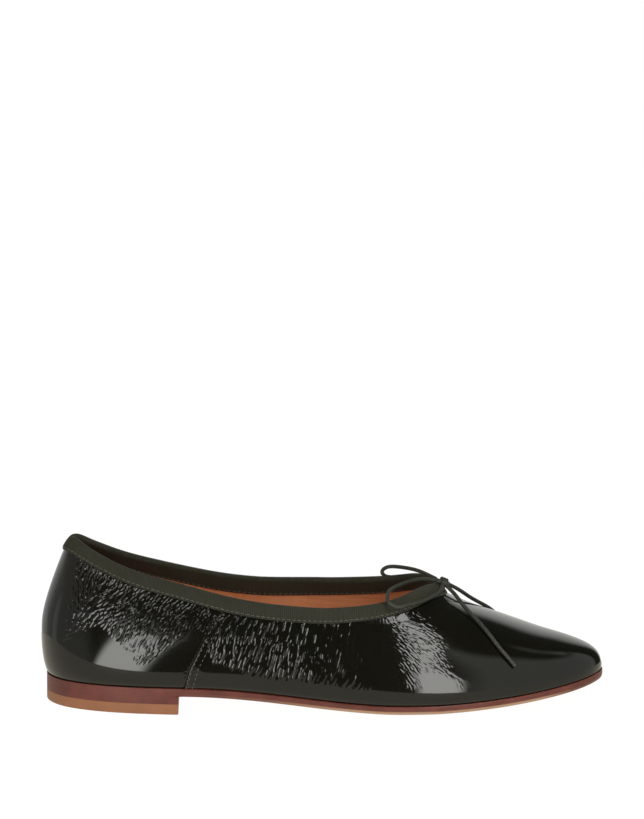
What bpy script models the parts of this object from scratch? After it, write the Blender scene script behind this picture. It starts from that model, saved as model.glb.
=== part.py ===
"""Ballet flat for the right foot, as a maker builds it.

Run with: blender --background --python part.py

The shoe stands on the floor at Z = 0 with its toe towards +X. The outer (lateral) side is -Y and the
inner (medial) side is +Y. Every form is worked out on one last: a plan outline, a crest line seen from
the side, and rounded sections between them. Lengths along the shoe are shares of SHOE_LENGTH, widths
are shares of BALL_WIDTH and heights of the upper are shares of BACK_HEIGHT.
"""

import math

import bmesh
import bpy
import numpy as np

# Driving sizes in metres
SHOE_LENGTH = 0.250  # back of the heel curve to the tip of the sole
BALL_WIDTH = 0.0785  # sole across the ball of the foot
BACK_HEIGHT = 0.0607  # top of the outsole to the top edge of the upper at the back
TOE_SPRING = 0.0095  # how far the tip of the sole stands off the floor
EDGE_LIFT = 0.0022  # how far the sides of the forepart curl up off the floor
TOP_PIECE_THICKNESS = 0.0045  # light bottom layer of the heel
LIFT_THICKNESS = 0.0030  # stained heel layer above it
HEEL_LENGTH = 0.0590  # back of the heel to its straight front face
OUTSOLE_THICKNESS = 0.0038
OUTSOLE_EDGE_ROUND = 0.0011  # rounding under the edge of the outsole
SOLE_MARGIN = 0.0005  # how far the outsole stands out past the upper
INSOLE_THICKNESS = 0.0020
WALL = 0.0016  # leather and lining of the upper together
RIBBON_WIDTH = 0.0062  # outer leg of the ribbon folded over the top edge
RIBBON_OVERREACH = 0.0012  # how much further down the inner leg reaches
RIBBON_THICKNESS = 0.0006
CORD_DIAMETER = 0.0020
KNOT_LENGTH = 0.0058
KNOT_HEIGHT = 0.0050
KNOT_DEPTH = 0.0024  # how far below the top edge the knot sits
FOLD_ROOM = 0.0006  # room over the cut edge of the leather inside the folded ribbon
FIT_GAP = 0.0003  # clearance between pieces that touch on the real shoe

HEEL_HEIGHT = TOP_PIECE_THICKNESS + LIFT_THICKNESS + 2 * FIT_GAP
RIBBON_INNER = RIBBON_WIDTH + RIBBON_OVERREACH  # length of the inner leg

# Plan of the outsole: (along, lateral, medial), as shares of SHOE_LENGTH and BALL_WIDTH
SOLE_PLAN = [
    (0.0088, 0.000, 0.000),
    (0.0300, 0.183, 0.176),
    (0.0820, 0.306, 0.284),
    (0.1650, 0.386, 0.332),
    (0.2700, 0.424, 0.324),
    (0.3900, 0.459, 0.305),
    (0.5000, 0.500, 0.352),
    (0.6100, 0.534, 0.432),
    (0.6900, 0.528, 0.465),
    (0.7700, 0.476, 0.442),
    (0.8500, 0.391, 0.376),
    (0.9160, 0.297, 0.288),
    (0.9640, 0.200, 0.196),
    (0.9890, 0.110, 0.108),
    (1.0000, 0.000, 0.000),
]

# Opening of the upper seen from above: (along, lateral, medial), same shares
COLLAR_PLAN = [
    (0.0540, 0.000, 0.000),
    (0.0640, 0.076, 0.073),
    (0.0840, 0.136, 0.134),
    (0.1220, 0.190, 0.180),
    (0.1760, 0.243, 0.220),
    (0.2400, 0.296, 0.254),
    (0.3000, 0.343, 0.268),
    (0.3700, 0.382, 0.270),
    (0.4400, 0.402, 0.276),
    (0.5100, 0.404, 0.288),
    (0.5700, 0.384, 0.297),
    (0.6150, 0.345, 0.290),
    (0.6480, 0.280, 0.254),
    (0.6740, 0.180, 0.170),
    (0.6900, 0.098, 0.094),
    (0.7030, 0.000, 0.000),
]

# Crest of the last seen from the side: (along, height), height above the outsole as a share of
# BACK_HEIGHT. Behind the throat it is the line that the closed last would have.
CREST = [
    (0.0000, 0.296),
    (0.0006, 0.400),
    (0.0044, 0.492),
    (0.0116, 0.600),
    (0.0196, 0.700),
    (0.0284, 0.800),
    (0.0384, 0.905),
    (0.0560, 1.016),
    (0.0840, 1.045),
    (0.1300, 1.009),
    (0.2000, 0.986),
    (0.3000, 1.025),
    (0.4100, 1.050),
    (0.5000, 1.001),
    (0.5800, 0.912),
    (0.6320, 0.835),
    (0.6680, 0.770),
    (0.7000, 0.710),
    (0.7360, 0.640),
    (0.7660, 0.580),
    (0.8020, 0.520),
    (0.8450, 0.446),
    (0.8880, 0.368),
    (0.9240, 0.308),
    (0.9560, 0.244),
    (0.9770, 0.188),
    (0.9890, 0.139),
    (0.9956, 0.088),
    (0.9974, 0.046),
]

# Widest line of the upper: (along, height, lateral bulge, medial bulge). Heights are shares of
# BACK_HEIGHT above the outsole and bulges, past the edge where upper meets sole, of BALL_WIDTH.
BELLY = [
    (0.0116, 0.296, 0.0369, 0.0369),
    (0.0500, 0.170, 0.0300, 0.0310),
    (0.1200, 0.085, 0.0250, 0.0270),
    (0.2600, 0.070, 0.0240, 0.0320),
    (0.4200, 0.065, 0.0240, 0.0400),
    (0.5600, 0.062, 0.0220, 0.0300),
    (0.6800, 0.060, 0.0180, 0.0190),
    (0.8200, 0.056, 0.0130, 0.0130),
    (0.9300, 0.050, 0.0080, 0.0080),
    (0.9972, 0.046, 0.0022, 0.0022),
]

# Where the keel of the sole leaves the heel, reaches the floor and lifts again, as shares of length
WAIST_START = 0.26
TREAD_START = 0.64
TREAD_END = 0.70
SPRING_POWER = 1.8
FLAT_TREAD_SHARE = 0.5  # middle share of the tread's width that stays flat
EDGE_LIFT_FULL = 0.60  # where the sides of the sole reach their full lift
EDGE_LIFT_FADE = 0.72  # where that lift starts to fade towards the tip
TIP_LIFT_SHARE = 0.15  # share of it that is left at the tip

DOME_POWER_HEEL = 2.0  # sections of the last are superellipses, fuller towards the toe
DOME_POWER_TOE = 2.25
DOME_CHANGE = (0.5, 0.9)  # places along the shoe between which the power changes
PEAK_SHIFT = 0.06  # how far the top of each section leans to the inner side
SHIFT_GROWS = (0.0, 0.25)  # places along the shoe between which that lean grows
SHIFT_FADES = (0.85, 1.0)  # and fades again
THROAT_RISE = 0.0030  # how far the top edge stands up over the vamp at the throat
RISE_REACH = 0.0100  # length of leather below the top edge that bends up with it
RISE_START = 0.50  # place along the shoe where that begins
TUCK_ANGLE = math.radians(76)  # share of a quarter turn from the sole's edge out to the belly
FAN = 0.06  # how far the side sections lean back from sole to collar

# Mesh resolution
DENSE = 1600
SIDE_STATIONS = 36
END_CROWDING = 0.35  # how much closer the stations lie at heel and toe
TUCK_LEVELS = 3
WALL_LEVELS = 9
LOW_CROWDING = 1.5  # power that brings the wall's rows closer near its widest line
PLATE_ROWS = 34
PLATE_COLUMNS = 8
MERGE_DISTANCE = 5e-6
SHARP_ANGLE = math.radians(40)
RIBBON_ROWS = [RIBBON_INNER, RIBBON_WIDTH, RIBBON_WIDTH / 2, 0.0]  # depths below the top edge

# Colours: linear red, green and blue
OLIVE_PATENT = (0.013, 0.012, 0.009)
OLIVE_RIBBON = (0.045, 0.044, 0.030)
OLIVE_CORD = (0.035, 0.036, 0.028)
STAINED_EDGE = (0.130, 0.045, 0.034)
TAN_LEATHER = (0.340, 0.140, 0.065)
LINING_TAN = (0.300, 0.120, 0.055)


def spline(points, count, start=None, end=None):
    """Points on a cubic spline with even curvature through the given points. start and end are
    directions that it leaves and arrives in."""
    points = np.array(points, float)
    chords = np.linalg.norm(np.diff(points, axis=0), axis=1)
    knots = np.concatenate([[0.0], np.cumsum(chords)])
    size = len(points)
    matrix = np.zeros((size, size))
    right = np.zeros_like(points)
    for i in range(1, size - 1):
        before, after = chords[i - 1], chords[i]
        matrix[i, i - 1 : i + 2] = before, 2 * (before + after), after
        slope_in = (points[i] - points[i - 1]) / before
        slope_out = (points[i + 1] - points[i]) / after
        right[i] = 6 * (slope_out - slope_in)
    matrix[0, 0] = matrix[-1, -1] = 1.0
    if start is not None:
        matrix[0, :2] = 2 * chords[0], chords[0]
        right[0] = 6 * ((points[1] - points[0]) / chords[0] - np.array(start, float))
    if end is not None:
        matrix[-1, -2:] = chords[-1], 2 * chords[-1]
        right[-1] = 6 * (np.array(end, float) - (points[-1] - points[-2]) / chords[-1])
    bends = np.linalg.solve(matrix, right)
    at = np.linspace(0.0, knots[-1], count)
    span = np.clip(np.searchsorted(knots, at, side="right") - 1, 0, size - 2)
    width = chords[span][:, None]
    left = ((knots[span + 1] - at)[:, None]) / width
    rest = 1.0 - left
    curve = left * points[span] + rest * points[span + 1]
    pull = (left**3 - left) * bends[span] + (rest**3 - rest) * bends[span + 1]
    return curve + pull * width**2 / 6


def graph(rows, column):
    """A column of a table as a smooth function of its first column."""
    knots = np.array([row[0] for row in rows])
    values = np.array([row[column] for row in rows])
    dense = spline(np.column_stack([knots, values * 1e-6]), DENSE)
    return lambda along: np.interp(along, dense[:, 0], dense[:, 1] * 1e6)


def ease(low, high, value):
    """Smooth step from 0 at low to 1 at high."""
    share = np.clip((value - low) / (high - low), 0.0, 1.0)
    return share * share * (3 - 2 * share)


def half_plan(rows, column, side):
    """One side of a plan outline, from heel to toe. side is -1 for lateral and 1 for medial."""
    points = [(row[0] * SHOE_LENGTH, side * row[column] * BALL_WIDTH) for row in rows]
    return spline(points, DENSE, start=(0, side), end=(0, -side))


def moved_out(half, side, distance):
    """The outline moved outwards by a distance, or by one distance for each of its points."""
    tangent = np.gradient(half, axis=0)
    tangent /= np.linalg.norm(tangent, axis=1)[:, None]
    normal = np.column_stack([-side * tangent[:, 1], side * tangent[:, 0]])
    normal[0] = -1.0, 0.0
    normal[-1] = 1.0, 0.0
    distance = np.broadcast_to(distance, len(half))
    return half + normal * distance[:, None]


def across(half, x):
    """How far to the side an outline is at x."""
    return np.interp(x, half[:, 0], half[:, 1])


SIDES = (-1, 1)  # lateral and medial
SOLE = {-1: half_plan(SOLE_PLAN, 1, -1), 1: half_plan(SOLE_PLAN, 2, 1)}
FEATHER = {side: moved_out(SOLE[side], side, -SOLE_MARGIN) for side in SIDES}
COLLAR = {-1: half_plan(COLLAR_PLAN, 1, -1), 1: half_plan(COLLAR_PLAN, 2, 1)}
COLLAR_MARGIN = {side: moved_out(COLLAR[side], side, RIBBON_INNER) for side in SIDES}
RISE_TO_RUN = BACK_HEIGHT / SHOE_LENGTH
CREST_LINE = spline(
    [(along, height * RISE_TO_RUN) for along, height in CREST],
    2 * DENSE,
    start=(0, 1),
    end=(0, -1),
)
BELLY_HEIGHT = graph(BELLY, 1)
BULGE = {-1: graph(BELLY, 2), 1: graph(BELLY, 3)}


def belly_outline(side):
    """Plan of the upper's widest line on one side."""
    half = FEATHER[side]
    bulge = BULGE[side](half[:, 0] / SHOE_LENGTH) * BALL_WIDTH
    return moved_out(half, side, bulge)


WIDEST = {side: belly_outline(side) for side in SIDES}


def keel(x):
    """Height of the underside of the outsole along its middle."""
    along = x / SHOE_LENGTH
    fall = np.clip((along - WAIST_START) / (TREAD_START - WAIST_START), 0.0, 1.0)
    heel_part = HEEL_HEIGHT * 0.5 * (1 + np.cos(math.pi * fall))
    spring = np.clip((along - TREAD_END) / (1 - TREAD_END), 0.0, 1.0)
    return np.where(fall < 1.0, heel_part, 0.0) + TOE_SPRING * spring**SPRING_POWER


def edge_lift(x):
    """How much higher the sides of the sole are than its keel."""
    along = x / SHOE_LENGTH
    fade = (1 - TIP_LIFT_SHARE) * ease(EDGE_LIFT_FADE, 1.0, along)
    return EDGE_LIFT * ease(WAIST_START, EDGE_LIFT_FULL, along) * (1 - fade)


def sole_bottom(x, y):
    """Underside of the outsole, curled up at its sides."""
    low, high = across(SOLE[-1], x), across(SOLE[1], x)
    half_width = np.maximum((high - low) / 2, 1e-5)
    share = np.clip(np.abs(y - (high + low) / 2) / half_width, 0.0, 1.0)
    return keel(x) + edge_lift(x) * ease(FLAT_TREAD_SHARE, 1.0, share)


def sole_edge_top(x):
    """Top of the outsole at its edge, where the upper stands on it."""
    return keel(x) + edge_lift(x) + OUTSOLE_THICKNESS


def belly_z(x):
    """Height of the upper's widest line."""
    return sole_edge_top(x) + BELLY_HEIGHT(x / SHOE_LENGTH) * BACK_HEIGHT


def crest_z(x):
    """Height of the last's crest."""
    return sole_edge_top(x) + np.interp(x, *(CREST_LINE * SHOE_LENGTH).T)


def last_z(x, y):
    """Height of the last's surface above its widest line, at a place in the plan."""
    along = x / SHOE_LENGTH
    low, high = across(WIDEST[-1], x), across(WIDEST[1], x)
    half_width = np.maximum((high - low) / 2, 1e-7)
    place = np.clip((y - (high + low) / 2) / half_width, -1.0, 1.0)
    lean = PEAK_SHIFT * ease(*SHIFT_GROWS, along) * (1 - ease(*SHIFT_FADES, along))
    root = np.sqrt(np.maximum(1 - 4 * lean * (place - lean), 0.0))
    turned = np.clip(np.abs(2 * (place - lean) / (1 + root)), 0.0, 1.0)
    power = DOME_POWER_HEEL + (DOME_POWER_TOE - DOME_POWER_HEEL) * ease(*DOME_CHANGE, along)
    return belly_z(x) + (crest_z(x) - belly_z(x)) * np.sqrt(1 - turned**power)


def lengths(line):
    """How far along a line each of its points lies."""
    steps = np.linalg.norm(np.diff(line, axis=0), axis=1)
    return np.concatenate([[0.0], np.cumsum(steps)])


def at_lengths(line, places):
    """Points at given distances along a line."""
    run = lengths(line)
    return np.column_stack([np.interp(places, run, line[:, k]) for k in range(line.shape[1])])


def ring_shares(count):
    """Shares along a side, closer together at heel and toe."""
    even = np.linspace(0.0, 1.0, count + 1)
    return even - END_CROWDING * np.sin(2 * math.pi * even) / (2 * math.pi)


def place_on(half, index):
    """Point of an outline at a fractional index."""
    return np.array([np.interp(index, range(DENSE), half[:, k]) for k in (0, 1)])


def band(collar, margin, count):
    """Dense line up the last to the collar, square to it, as long as the ribbon's inner leg."""
    plan = collar + (margin - collar) * np.linspace(0.0, 1.0, count)[:, None]
    line = np.column_stack([plan, last_z(plan[:, 0], plan[:, 1])])
    return at_lengths(line, np.linspace(RIBBON_INNER, 0.0, count))


def meridian(side, share, count=240):
    """Dense line up the outside of the upper, from the sole's edge to the collar. It climbs at a
    slant to the band under the ribbon and crosses that squarely."""
    index = share * (DENSE - 1)
    foot = place_on(FEATHER[side], index)
    belly = place_on(WIDEST[side], index)
    run = lengths(COLLAR[side])
    fanned = share - FAN * math.sin(math.pi * share)
    edge_index = np.interp(fanned * run[-1], run, range(DENSE))
    collar = place_on(COLLAR[side], edge_index)
    top_band = band(collar, place_on(COLLAR_MARGIN[side], edge_index), count // 4)
    hem = top_band[0, :2]
    turn = np.linspace(TUCK_ANGLE, 0.0, count // 4, endpoint=False)
    out = (1 - np.cos(turn)) / (1 - math.cos(TUCK_ANGLE))
    tuck_plan = belly + (foot - belly) * out[:, None]
    foot_z = sole_edge_top(foot[0]) + FIT_GAP
    top_z = belly_z(belly[0])
    tuck_z = top_z - (top_z - foot_z) * np.sin(turn) / math.sin(TUCK_ANGLE)
    swing = 1 - np.cos(np.linspace(0.0, math.pi / 2, count))
    plan = belly + (hem - belly) * swing[:, None]
    wall_z = last_z(plan[:, 0], plan[:, 1])
    wall_z[0] = top_z
    tuck = np.column_stack([tuck_plan, tuck_z])
    wall = np.vstack([np.column_stack([plan, wall_z]), top_band[1:]])
    below = lengths(wall)[-1] - lengths(wall)
    rise = THROAT_RISE * ease(RISE_START, COLLAR_PLAN[-1][0], collar[0] / SHOE_LENGTH)
    wall[:, 2] += rise * np.clip(1 - below / RISE_REACH, 0.0, 1.0) ** 2
    return tuck, wall


def ring_of_meridians(count):
    """Every meridian round the shoe: heel to toe on the lateral side, then back."""
    shares = ring_shares(count)
    lateral = [meridian(-1, share) for share in shares]
    medial = [meridian(1, share) for share in shares[1:-1][::-1]]
    return lateral + medial


def link(obj, colour, roughness):
    """Puts a piece in the shoe's collection with its own material."""
    material = bpy.data.materials.new(obj.name)
    material.use_nodes = True
    shader = material.node_tree.nodes["Principled BSDF"]
    shader.inputs["Base Color"].default_value = (*colour, 1.0)
    shader.inputs["Roughness"].default_value = roughness
    shader.inputs["Metallic"].default_value = 0.0
    obj.data.materials.append(material)
    SHOE.objects.link(obj)
    obj.parent = LAST
    return obj


def mesh_object(name, points, faces):
    """A mesh of the given faces, with doubles merged, faces that shrank to nothing dropped and the
    rest turned outwards."""
    mesh = bpy.data.meshes.new(name)
    mesh.from_pydata([tuple(p) for p in points], [], faces)
    shape = bmesh.new()
    shape.from_mesh(mesh)
    bmesh.ops.remove_doubles(shape, verts=shape.verts, dist=MERGE_DISTANCE)
    bmesh.ops.dissolve_degenerate(shape, edges=shape.edges, dist=MERGE_DISTANCE / 5)
    bmesh.ops.recalc_face_normals(shape, faces=shape.faces)
    shape.to_mesh(mesh)
    shape.free()
    mesh.shade_smooth()
    mesh.set_sharp_from_angle(angle=SHARP_ANGLE)
    return bpy.data.objects.new(name, mesh)


def ring_faces(rows, columns):
    """Quads between rows of points that each close into a ring."""
    faces = []
    for row in range(rows - 1):
        for column in range(columns):
            after = (column + 1) % columns
            low, high = row * columns, (row + 1) * columns
            faces.append((low + column, low + after, high + after, high + column))
    return faces


def upper():
    """Hollow leather upper: an open ring of meridians given its wall by Solidify."""
    columns = ring_of_meridians(SIDE_STATIONS)
    tuck_shares = np.linspace(0.0, 1.0, TUCK_LEVELS, endpoint=False)
    grid = []
    for tuck, wall in columns:
        whole_tuck = np.vstack([tuck, wall[:1]])
        low = at_lengths(whole_tuck, tuck_shares * lengths(whole_tuck)[-1])
        top = lengths(wall)[-1]
        bound = [top - depth for depth in RIBBON_ROWS]
        plain = bound[0] * np.linspace(0.0, 1.0, WALL_LEVELS, endpoint=False) ** LOW_CROWDING
        grid.append(np.vstack([low, at_lengths(wall, [*plain, *bound])]))
    grid = np.array(grid).transpose(1, 0, 2)
    rows, around = grid.shape[:2]
    obj = mesh_object("upper", grid.reshape(-1, 3), ring_faces(rows, around))
    facing = sum(p.normal.dot(p.center - obj.data.vertices[0].co) for p in obj.data.polygons)
    shell = obj.modifiers.new("wall", "SOLIDIFY")
    shell.thickness = WALL
    shell.offset = -1.0 if facing > 0 else 1.0
    return link(obj, OLIVE_PATENT, 0.15)


def rings_below_collar(depths, count):
    """Rings of the upper's outer surface at distances below its top edge, with the directions out
    of the surface and up along it."""
    lines = [wall[::-1] for _, wall in ring_of_meridians(count)]
    step = 0.0003
    rings = []
    for depth in depths:
        places = [max(depth - step, 0.0), depth, depth + step]
        near, here, far = np.array([at_lengths(line, places) for line in lines]).swapaxes(0, 1)
        up = near - far
        up /= np.linalg.norm(up, axis=1)[:, None]
        along = np.roll(here, -1, axis=0) - np.roll(here, 1, axis=0)
        out = np.cross(along, up)
        out /= np.linalg.norm(out, axis=1)[:, None]
        rings.append((here, out, up))
    return rings


def collar_binding():
    """Ribbon folded over the top edge of the upper: a channel swept round the collar."""
    rings = rings_below_collar(RIBBON_ROWS, SIDE_STATIONS)
    outer = FIT_GAP + RIBBON_THICKNESS
    edge, out, up = rings[-1]
    middle = edge - out * (WALL / 2)

    def leg(offset, first):
        return [place + normal * offset for place, normal, _ in rings[first:]]

    def over(turn):
        height = (FOLD_ROOM + RIBBON_THICKNESS) * math.sin(turn)
        return middle + (WALL / 2 + outer) * math.cos(turn) * out + height * up

    outside = leg(outer, 1) + [over(math.radians(turn)) for turn in (55, 125)]
    outside += leg(-WALL - outer, 0)[::-1]
    roof = [middle + side * (WALL / 2) * out + FOLD_ROOM * up for side in (-1, 1)]
    inside = leg(-WALL - FIT_GAP, 0) + roof + leg(FIT_GAP, 1)[::-1]
    section = np.array(outside + inside)
    closed = np.concatenate([section, section[:1]])
    points = closed.reshape(-1, 3)
    obj = mesh_object("collar_binding", points, ring_faces(len(closed), section.shape[1]))
    return link(obj, OLIVE_RIBBON, 0.7)


def add_grid(points, faces, grid):
    """Adds a grid of points, rows by columns, with its quads."""
    base = len(points)
    rows, columns = grid.shape[:2]
    points += list(grid.reshape(-1, 3))
    for row in range(rows - 1):
        for column in range(columns - 1):
            low = base + row * columns + column
            faces.append((low, low + 1, low + columns + 1, low + columns))


def plate(name, plan, stop, bottom, top, edge_round, colour, roughness):
    """A layer of the sole between two surfaces, cut to a plan outline. It runs from the outline's
    back to x = stop, where it ends in a straight face, or to the toe where stop is None. Its edge
    is upright, then rounded under by edge_round."""
    to_toe = stop is None
    back = plan[-1][0, 0]
    front = plan[-1][-1, 0] if to_toe else stop
    turn = np.linspace(0.0, math.pi if to_toe else math.pi / 2, PLATE_ROWS + 1)
    shares = (1 - np.cos(turn)) / (1 - math.cos(turn[-1]))
    levels = [(0.0, 1.0), (0.0, 0.45), (0.3 * edge_round, 0.16), (edge_round, 0.0)]
    if not edge_round:
        levels = [(0.0, 1.0), (0.0, 0.0)]

    def layer(inset, height, columns):
        low, high = (moved_out(plan[side], side, -inset) for side in (-1, 1))
        x = back + inset + (front - back - inset * (2 if to_toe else 1)) * shares[:, None]
        reach = np.linspace(0.0, 1.0, columns + 1)
        y = across(low, x) + (across(high, x) - across(low, x)) * reach
        x = np.broadcast_to(x, y.shape)
        return np.stack([x, y, bottom(x, y) + (top(x, y) - bottom(x, y)) * height], axis=2)

    points, faces = [], []
    add_grid(points, faces, layer(0.0, 1.0, PLATE_COLUMNS))
    add_grid(points, faces, layer(edge_round, 0.0, PLATE_COLUMNS))
    rims = np.array([layer(inset, height, 1) for inset, height in levels])
    for side in (0, 1):
        add_grid(points, faces, rims[:, :, side])
    if not to_toe:
        ends = np.array([layer(0.0, height, PLATE_COLUMNS)[-1] for _, height in levels])
        add_grid(points, faces, ends)
    return link(mesh_object(name, points, faces), colour, roughness)


def outsole():
    """Leather outsole: true outline, arch, tread, toe spring and a rounded edge."""
    return plate(
        "outsole",
        SOLE,
        None,
        sole_bottom,
        lambda x, y: sole_bottom(x, y) + OUTSOLE_THICKNESS,
        OUTSOLE_EDGE_ROUND,
        STAINED_EDGE,
        0.45,
    )


def insole():
    """Leather sock inside the upper, lying on the outsole."""
    inset = SOLE_MARGIN + WALL + FIT_GAP
    plan = {side: moved_out(SOLE[side], side, -inset) for side in SIDES}
    base = OUTSOLE_THICKNESS + 1.5 * FIT_GAP
    return plate(
        "insole",
        plan,
        None,
        lambda x, y: sole_bottom(x, y) + base,
        lambda x, y: sole_bottom(x, y) + base + INSOLE_THICKNESS,
        0.0,
        LINING_TAN,
        0.6,
    )


def heel_layer(name, floor, thickness, colour):
    """One layer of the low heel, with a straight front face."""
    front = SOLE[-1][0, 0] + HEEL_LENGTH
    return plate(
        name,
        SOLE,
        front,
        lambda x, y: np.zeros_like(y) + floor,
        lambda x, y: np.zeros_like(y) + floor + thickness,
        0.0,
        colour,
        0.45,
    )


def knot_centre():
    """Middle of the bow's knot, seated on the ribbon at the front of the throat."""
    ring, normals, _ = rings_below_collar([KNOT_DEPTH], SIDE_STATIONS)[0]
    out = normals[SIDE_STATIONS]
    reach = np.linalg.norm(out * [KNOT_LENGTH / 2, KNOT_LENGTH / 2, KNOT_HEIGHT / 2])
    return ring[SIDE_STATIONS] + out * (2 * FIT_GAP + RIBBON_THICKNESS + reach)


# Routes of the bow's cord in metres from the knot's middle: forwards, to the inner side, up
OUTER_LOOP = [
    (-0.0032, -0.0015, 0.0014),
    (-0.0080, -0.0042, 0.0027),
    (-0.0140, -0.0092, 0.0031),
    (-0.0190, -0.0150, 0.0028),
    (-0.0232, -0.0215, 0.0022),
    (-0.0250, -0.0280, 0.0008),
    (-0.0240, -0.0318, -0.0018),
    (-0.0206, -0.0315, -0.0034),
    (-0.0160, -0.0282, -0.0032),
    (-0.0108, -0.0238, -0.0030),
    (-0.0064, -0.0184, -0.0026),
    (-0.0030, -0.0128, -0.0020),
    (-0.0010, -0.0076, -0.0012),
    (-0.0004, -0.0034, -0.0006),
]
INNER_LOOP = [
    (-0.0032, 0.0015, 0.0014),
    (-0.0078, 0.0058, 0.0027),
    (-0.0118, 0.0108, 0.0031),
    (-0.0166, 0.0165, 0.0028),
    (-0.0210, 0.0220, 0.0020),
    (-0.0250, 0.0272, 0.0004),
    (-0.0270, 0.0312, -0.0026),
    (-0.0258, 0.0336, -0.0050),
    (-0.0222, 0.0330, -0.0056),
    (-0.0172, 0.0296, -0.0046),
    (-0.0118, 0.0246, -0.0034),
    (-0.0070, 0.0190, -0.0026),
    (-0.0034, 0.0130, -0.0018),
    (-0.0012, 0.0078, -0.0012),
    (-0.0004, 0.0034, -0.0006),
]
# Routes of the bow's ends: forwards and to the inner side of the knot's middle, and how far the
# cord's middle stands off the leather
OUTER_END = [
    (-0.0002, -0.0018, 0.0044),
    (0.0036, -0.0048, 0.0034),
    (0.0082, -0.0096, 0.0020),
    (0.0138, -0.0154, 0.0014),
    (0.0196, -0.0218, 0.0014),
    (0.0250, -0.0266, 0.0014),
    (0.0294, -0.0286, 0.0014),
    (0.0314, -0.0292, 0.0014),
]
INNER_END = [
    (0.0002, 0.0020, 0.0050),
    (0.0050, 0.0046, 0.0052),
    (0.0110, 0.0096, 0.0036),
    (0.0162, 0.0150, 0.0018),
    (0.0210, 0.0206, 0.0014),
    (0.0256, 0.0256, 0.0014),
    (0.0292, 0.0285, 0.0014),
]


def off_the_last(x, y, distance):
    """A place at a distance outside the last's surface."""
    step = 0.0002
    slope_x = (last_z(x + step, y) - last_z(x - step, y)) / (2 * step)
    slope_y = (last_z(x, y + step) - last_z(x, y - step)) / (2 * step)
    normal = np.array([-slope_x, -slope_y, 1.0])
    normal /= np.linalg.norm(normal)
    return np.array([x, y, float(last_z(x, y))]) + normal * distance


def draped(route):
    """A bow end's route laid over the last."""
    knot = knot_centre()
    return [off_the_last(knot[0] + f, knot[1] + s, off) for f, s, off in route]


def from_knot(route):
    """A loop's route placed at the knot."""
    return np.array(route) + knot_centre()


def cord(name, route, count):
    """A tube along a smooth line through a route that starts at the knot."""
    line = spline(route, count)
    data = bpy.data.curves.new(name, "CURVE")
    data.dimensions = "3D"
    data.bevel_depth = CORD_DIAMETER / 2
    data.bevel_resolution = 2
    data.use_fill_caps = True
    strand = data.splines.new("POLY")
    strand.points.add(count - 1)
    for point, place in zip(strand.points, line):
        point.co = (*place, 1.0)
    return link(bpy.data.objects.new(name, data), OLIVE_CORD, 0.55)


def bow_knot():
    """The pulled-tight middle of the bow, as one small rounded solid."""
    mesh = bpy.data.meshes.new("bow_knot")
    shape = bmesh.new()
    bmesh.ops.create_uvsphere(shape, u_segments=16, v_segments=10, radius=0.5)
    for vertex in shape.verts:
        vertex.co.x *= KNOT_LENGTH
        vertex.co.y *= KNOT_LENGTH
        vertex.co.z *= KNOT_HEIGHT
    shape.to_mesh(mesh)
    shape.free()
    mesh.shade_smooth()
    obj = link(bpy.data.objects.new("bow_knot", mesh), OLIVE_CORD, 0.55)
    obj.location = knot_centre()
    return obj


def shoe_middle():
    """Where the middle of the shoe's box lies on the last's own axis."""
    wide = {side: np.abs(WIDEST[side][:, 1]).max() for side in SIDES}
    return (WIDEST[-1][0, 0] + SHOE_LENGTH) / 2, (wide[1] - wide[-1]) / 2


for leftover in list(bpy.data.objects):
    bpy.data.objects.remove(leftover)

SHOE = bpy.data.collections.new("ballet_flat")
bpy.context.scene.collection.children.link(SHOE)
LAST = bpy.data.objects.new("last_axis", None)
SHOE.objects.link(LAST)
MIDDLE_X, MIDDLE_Y = shoe_middle()
LAST.location = (-MIDDLE_X, -MIDDLE_Y, 0.0)

outsole()
heel_layer("heel_top_piece", 0.0, TOP_PIECE_THICKNESS, TAN_LEATHER)
heel_layer("heel_lift", TOP_PIECE_THICKNESS + FIT_GAP, LIFT_THICKNESS, STAINED_EDGE)
insole()
upper()
collar_binding()
bow_knot()
cord("bow_loop_outer", from_knot(OUTER_LOOP), 22)
cord("bow_loop_inner", from_knot(INNER_LOOP), 22)
cord("bow_end_outer", draped(OUTER_END), 14)
cord("bow_end_inner", draped(INNER_END), 14)
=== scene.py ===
# %% [markdown]
# # A patent ballet flat, dressed on its imported frame
# The frame gives the shoe's solids, all worked out on one last. This lesson gives each of them the
# finish of the real shoe: crinkled patent leather, a ribbed ribbon round the top edge, a tan lining,
# a stained leather sole and a small bow of leather cord. We load the frame first. Nothing that we
# add may make the shoe bigger.

import math

import bmesh
import bpy
import numpy as np
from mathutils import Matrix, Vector


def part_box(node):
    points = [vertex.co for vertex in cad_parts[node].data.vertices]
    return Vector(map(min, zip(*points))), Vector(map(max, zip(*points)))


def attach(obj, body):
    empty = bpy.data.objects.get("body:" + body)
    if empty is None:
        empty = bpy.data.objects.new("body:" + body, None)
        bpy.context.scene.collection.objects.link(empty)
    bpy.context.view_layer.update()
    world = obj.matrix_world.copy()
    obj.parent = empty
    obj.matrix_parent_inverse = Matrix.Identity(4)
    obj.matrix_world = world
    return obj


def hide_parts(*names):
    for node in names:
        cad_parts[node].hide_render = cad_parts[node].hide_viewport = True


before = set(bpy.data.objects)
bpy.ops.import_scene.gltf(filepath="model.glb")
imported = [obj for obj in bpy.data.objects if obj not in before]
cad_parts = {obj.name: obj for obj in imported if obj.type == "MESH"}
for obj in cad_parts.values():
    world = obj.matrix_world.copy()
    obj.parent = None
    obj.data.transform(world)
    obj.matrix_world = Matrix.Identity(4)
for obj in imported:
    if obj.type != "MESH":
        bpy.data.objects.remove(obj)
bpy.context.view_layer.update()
MM = 0.001

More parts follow.
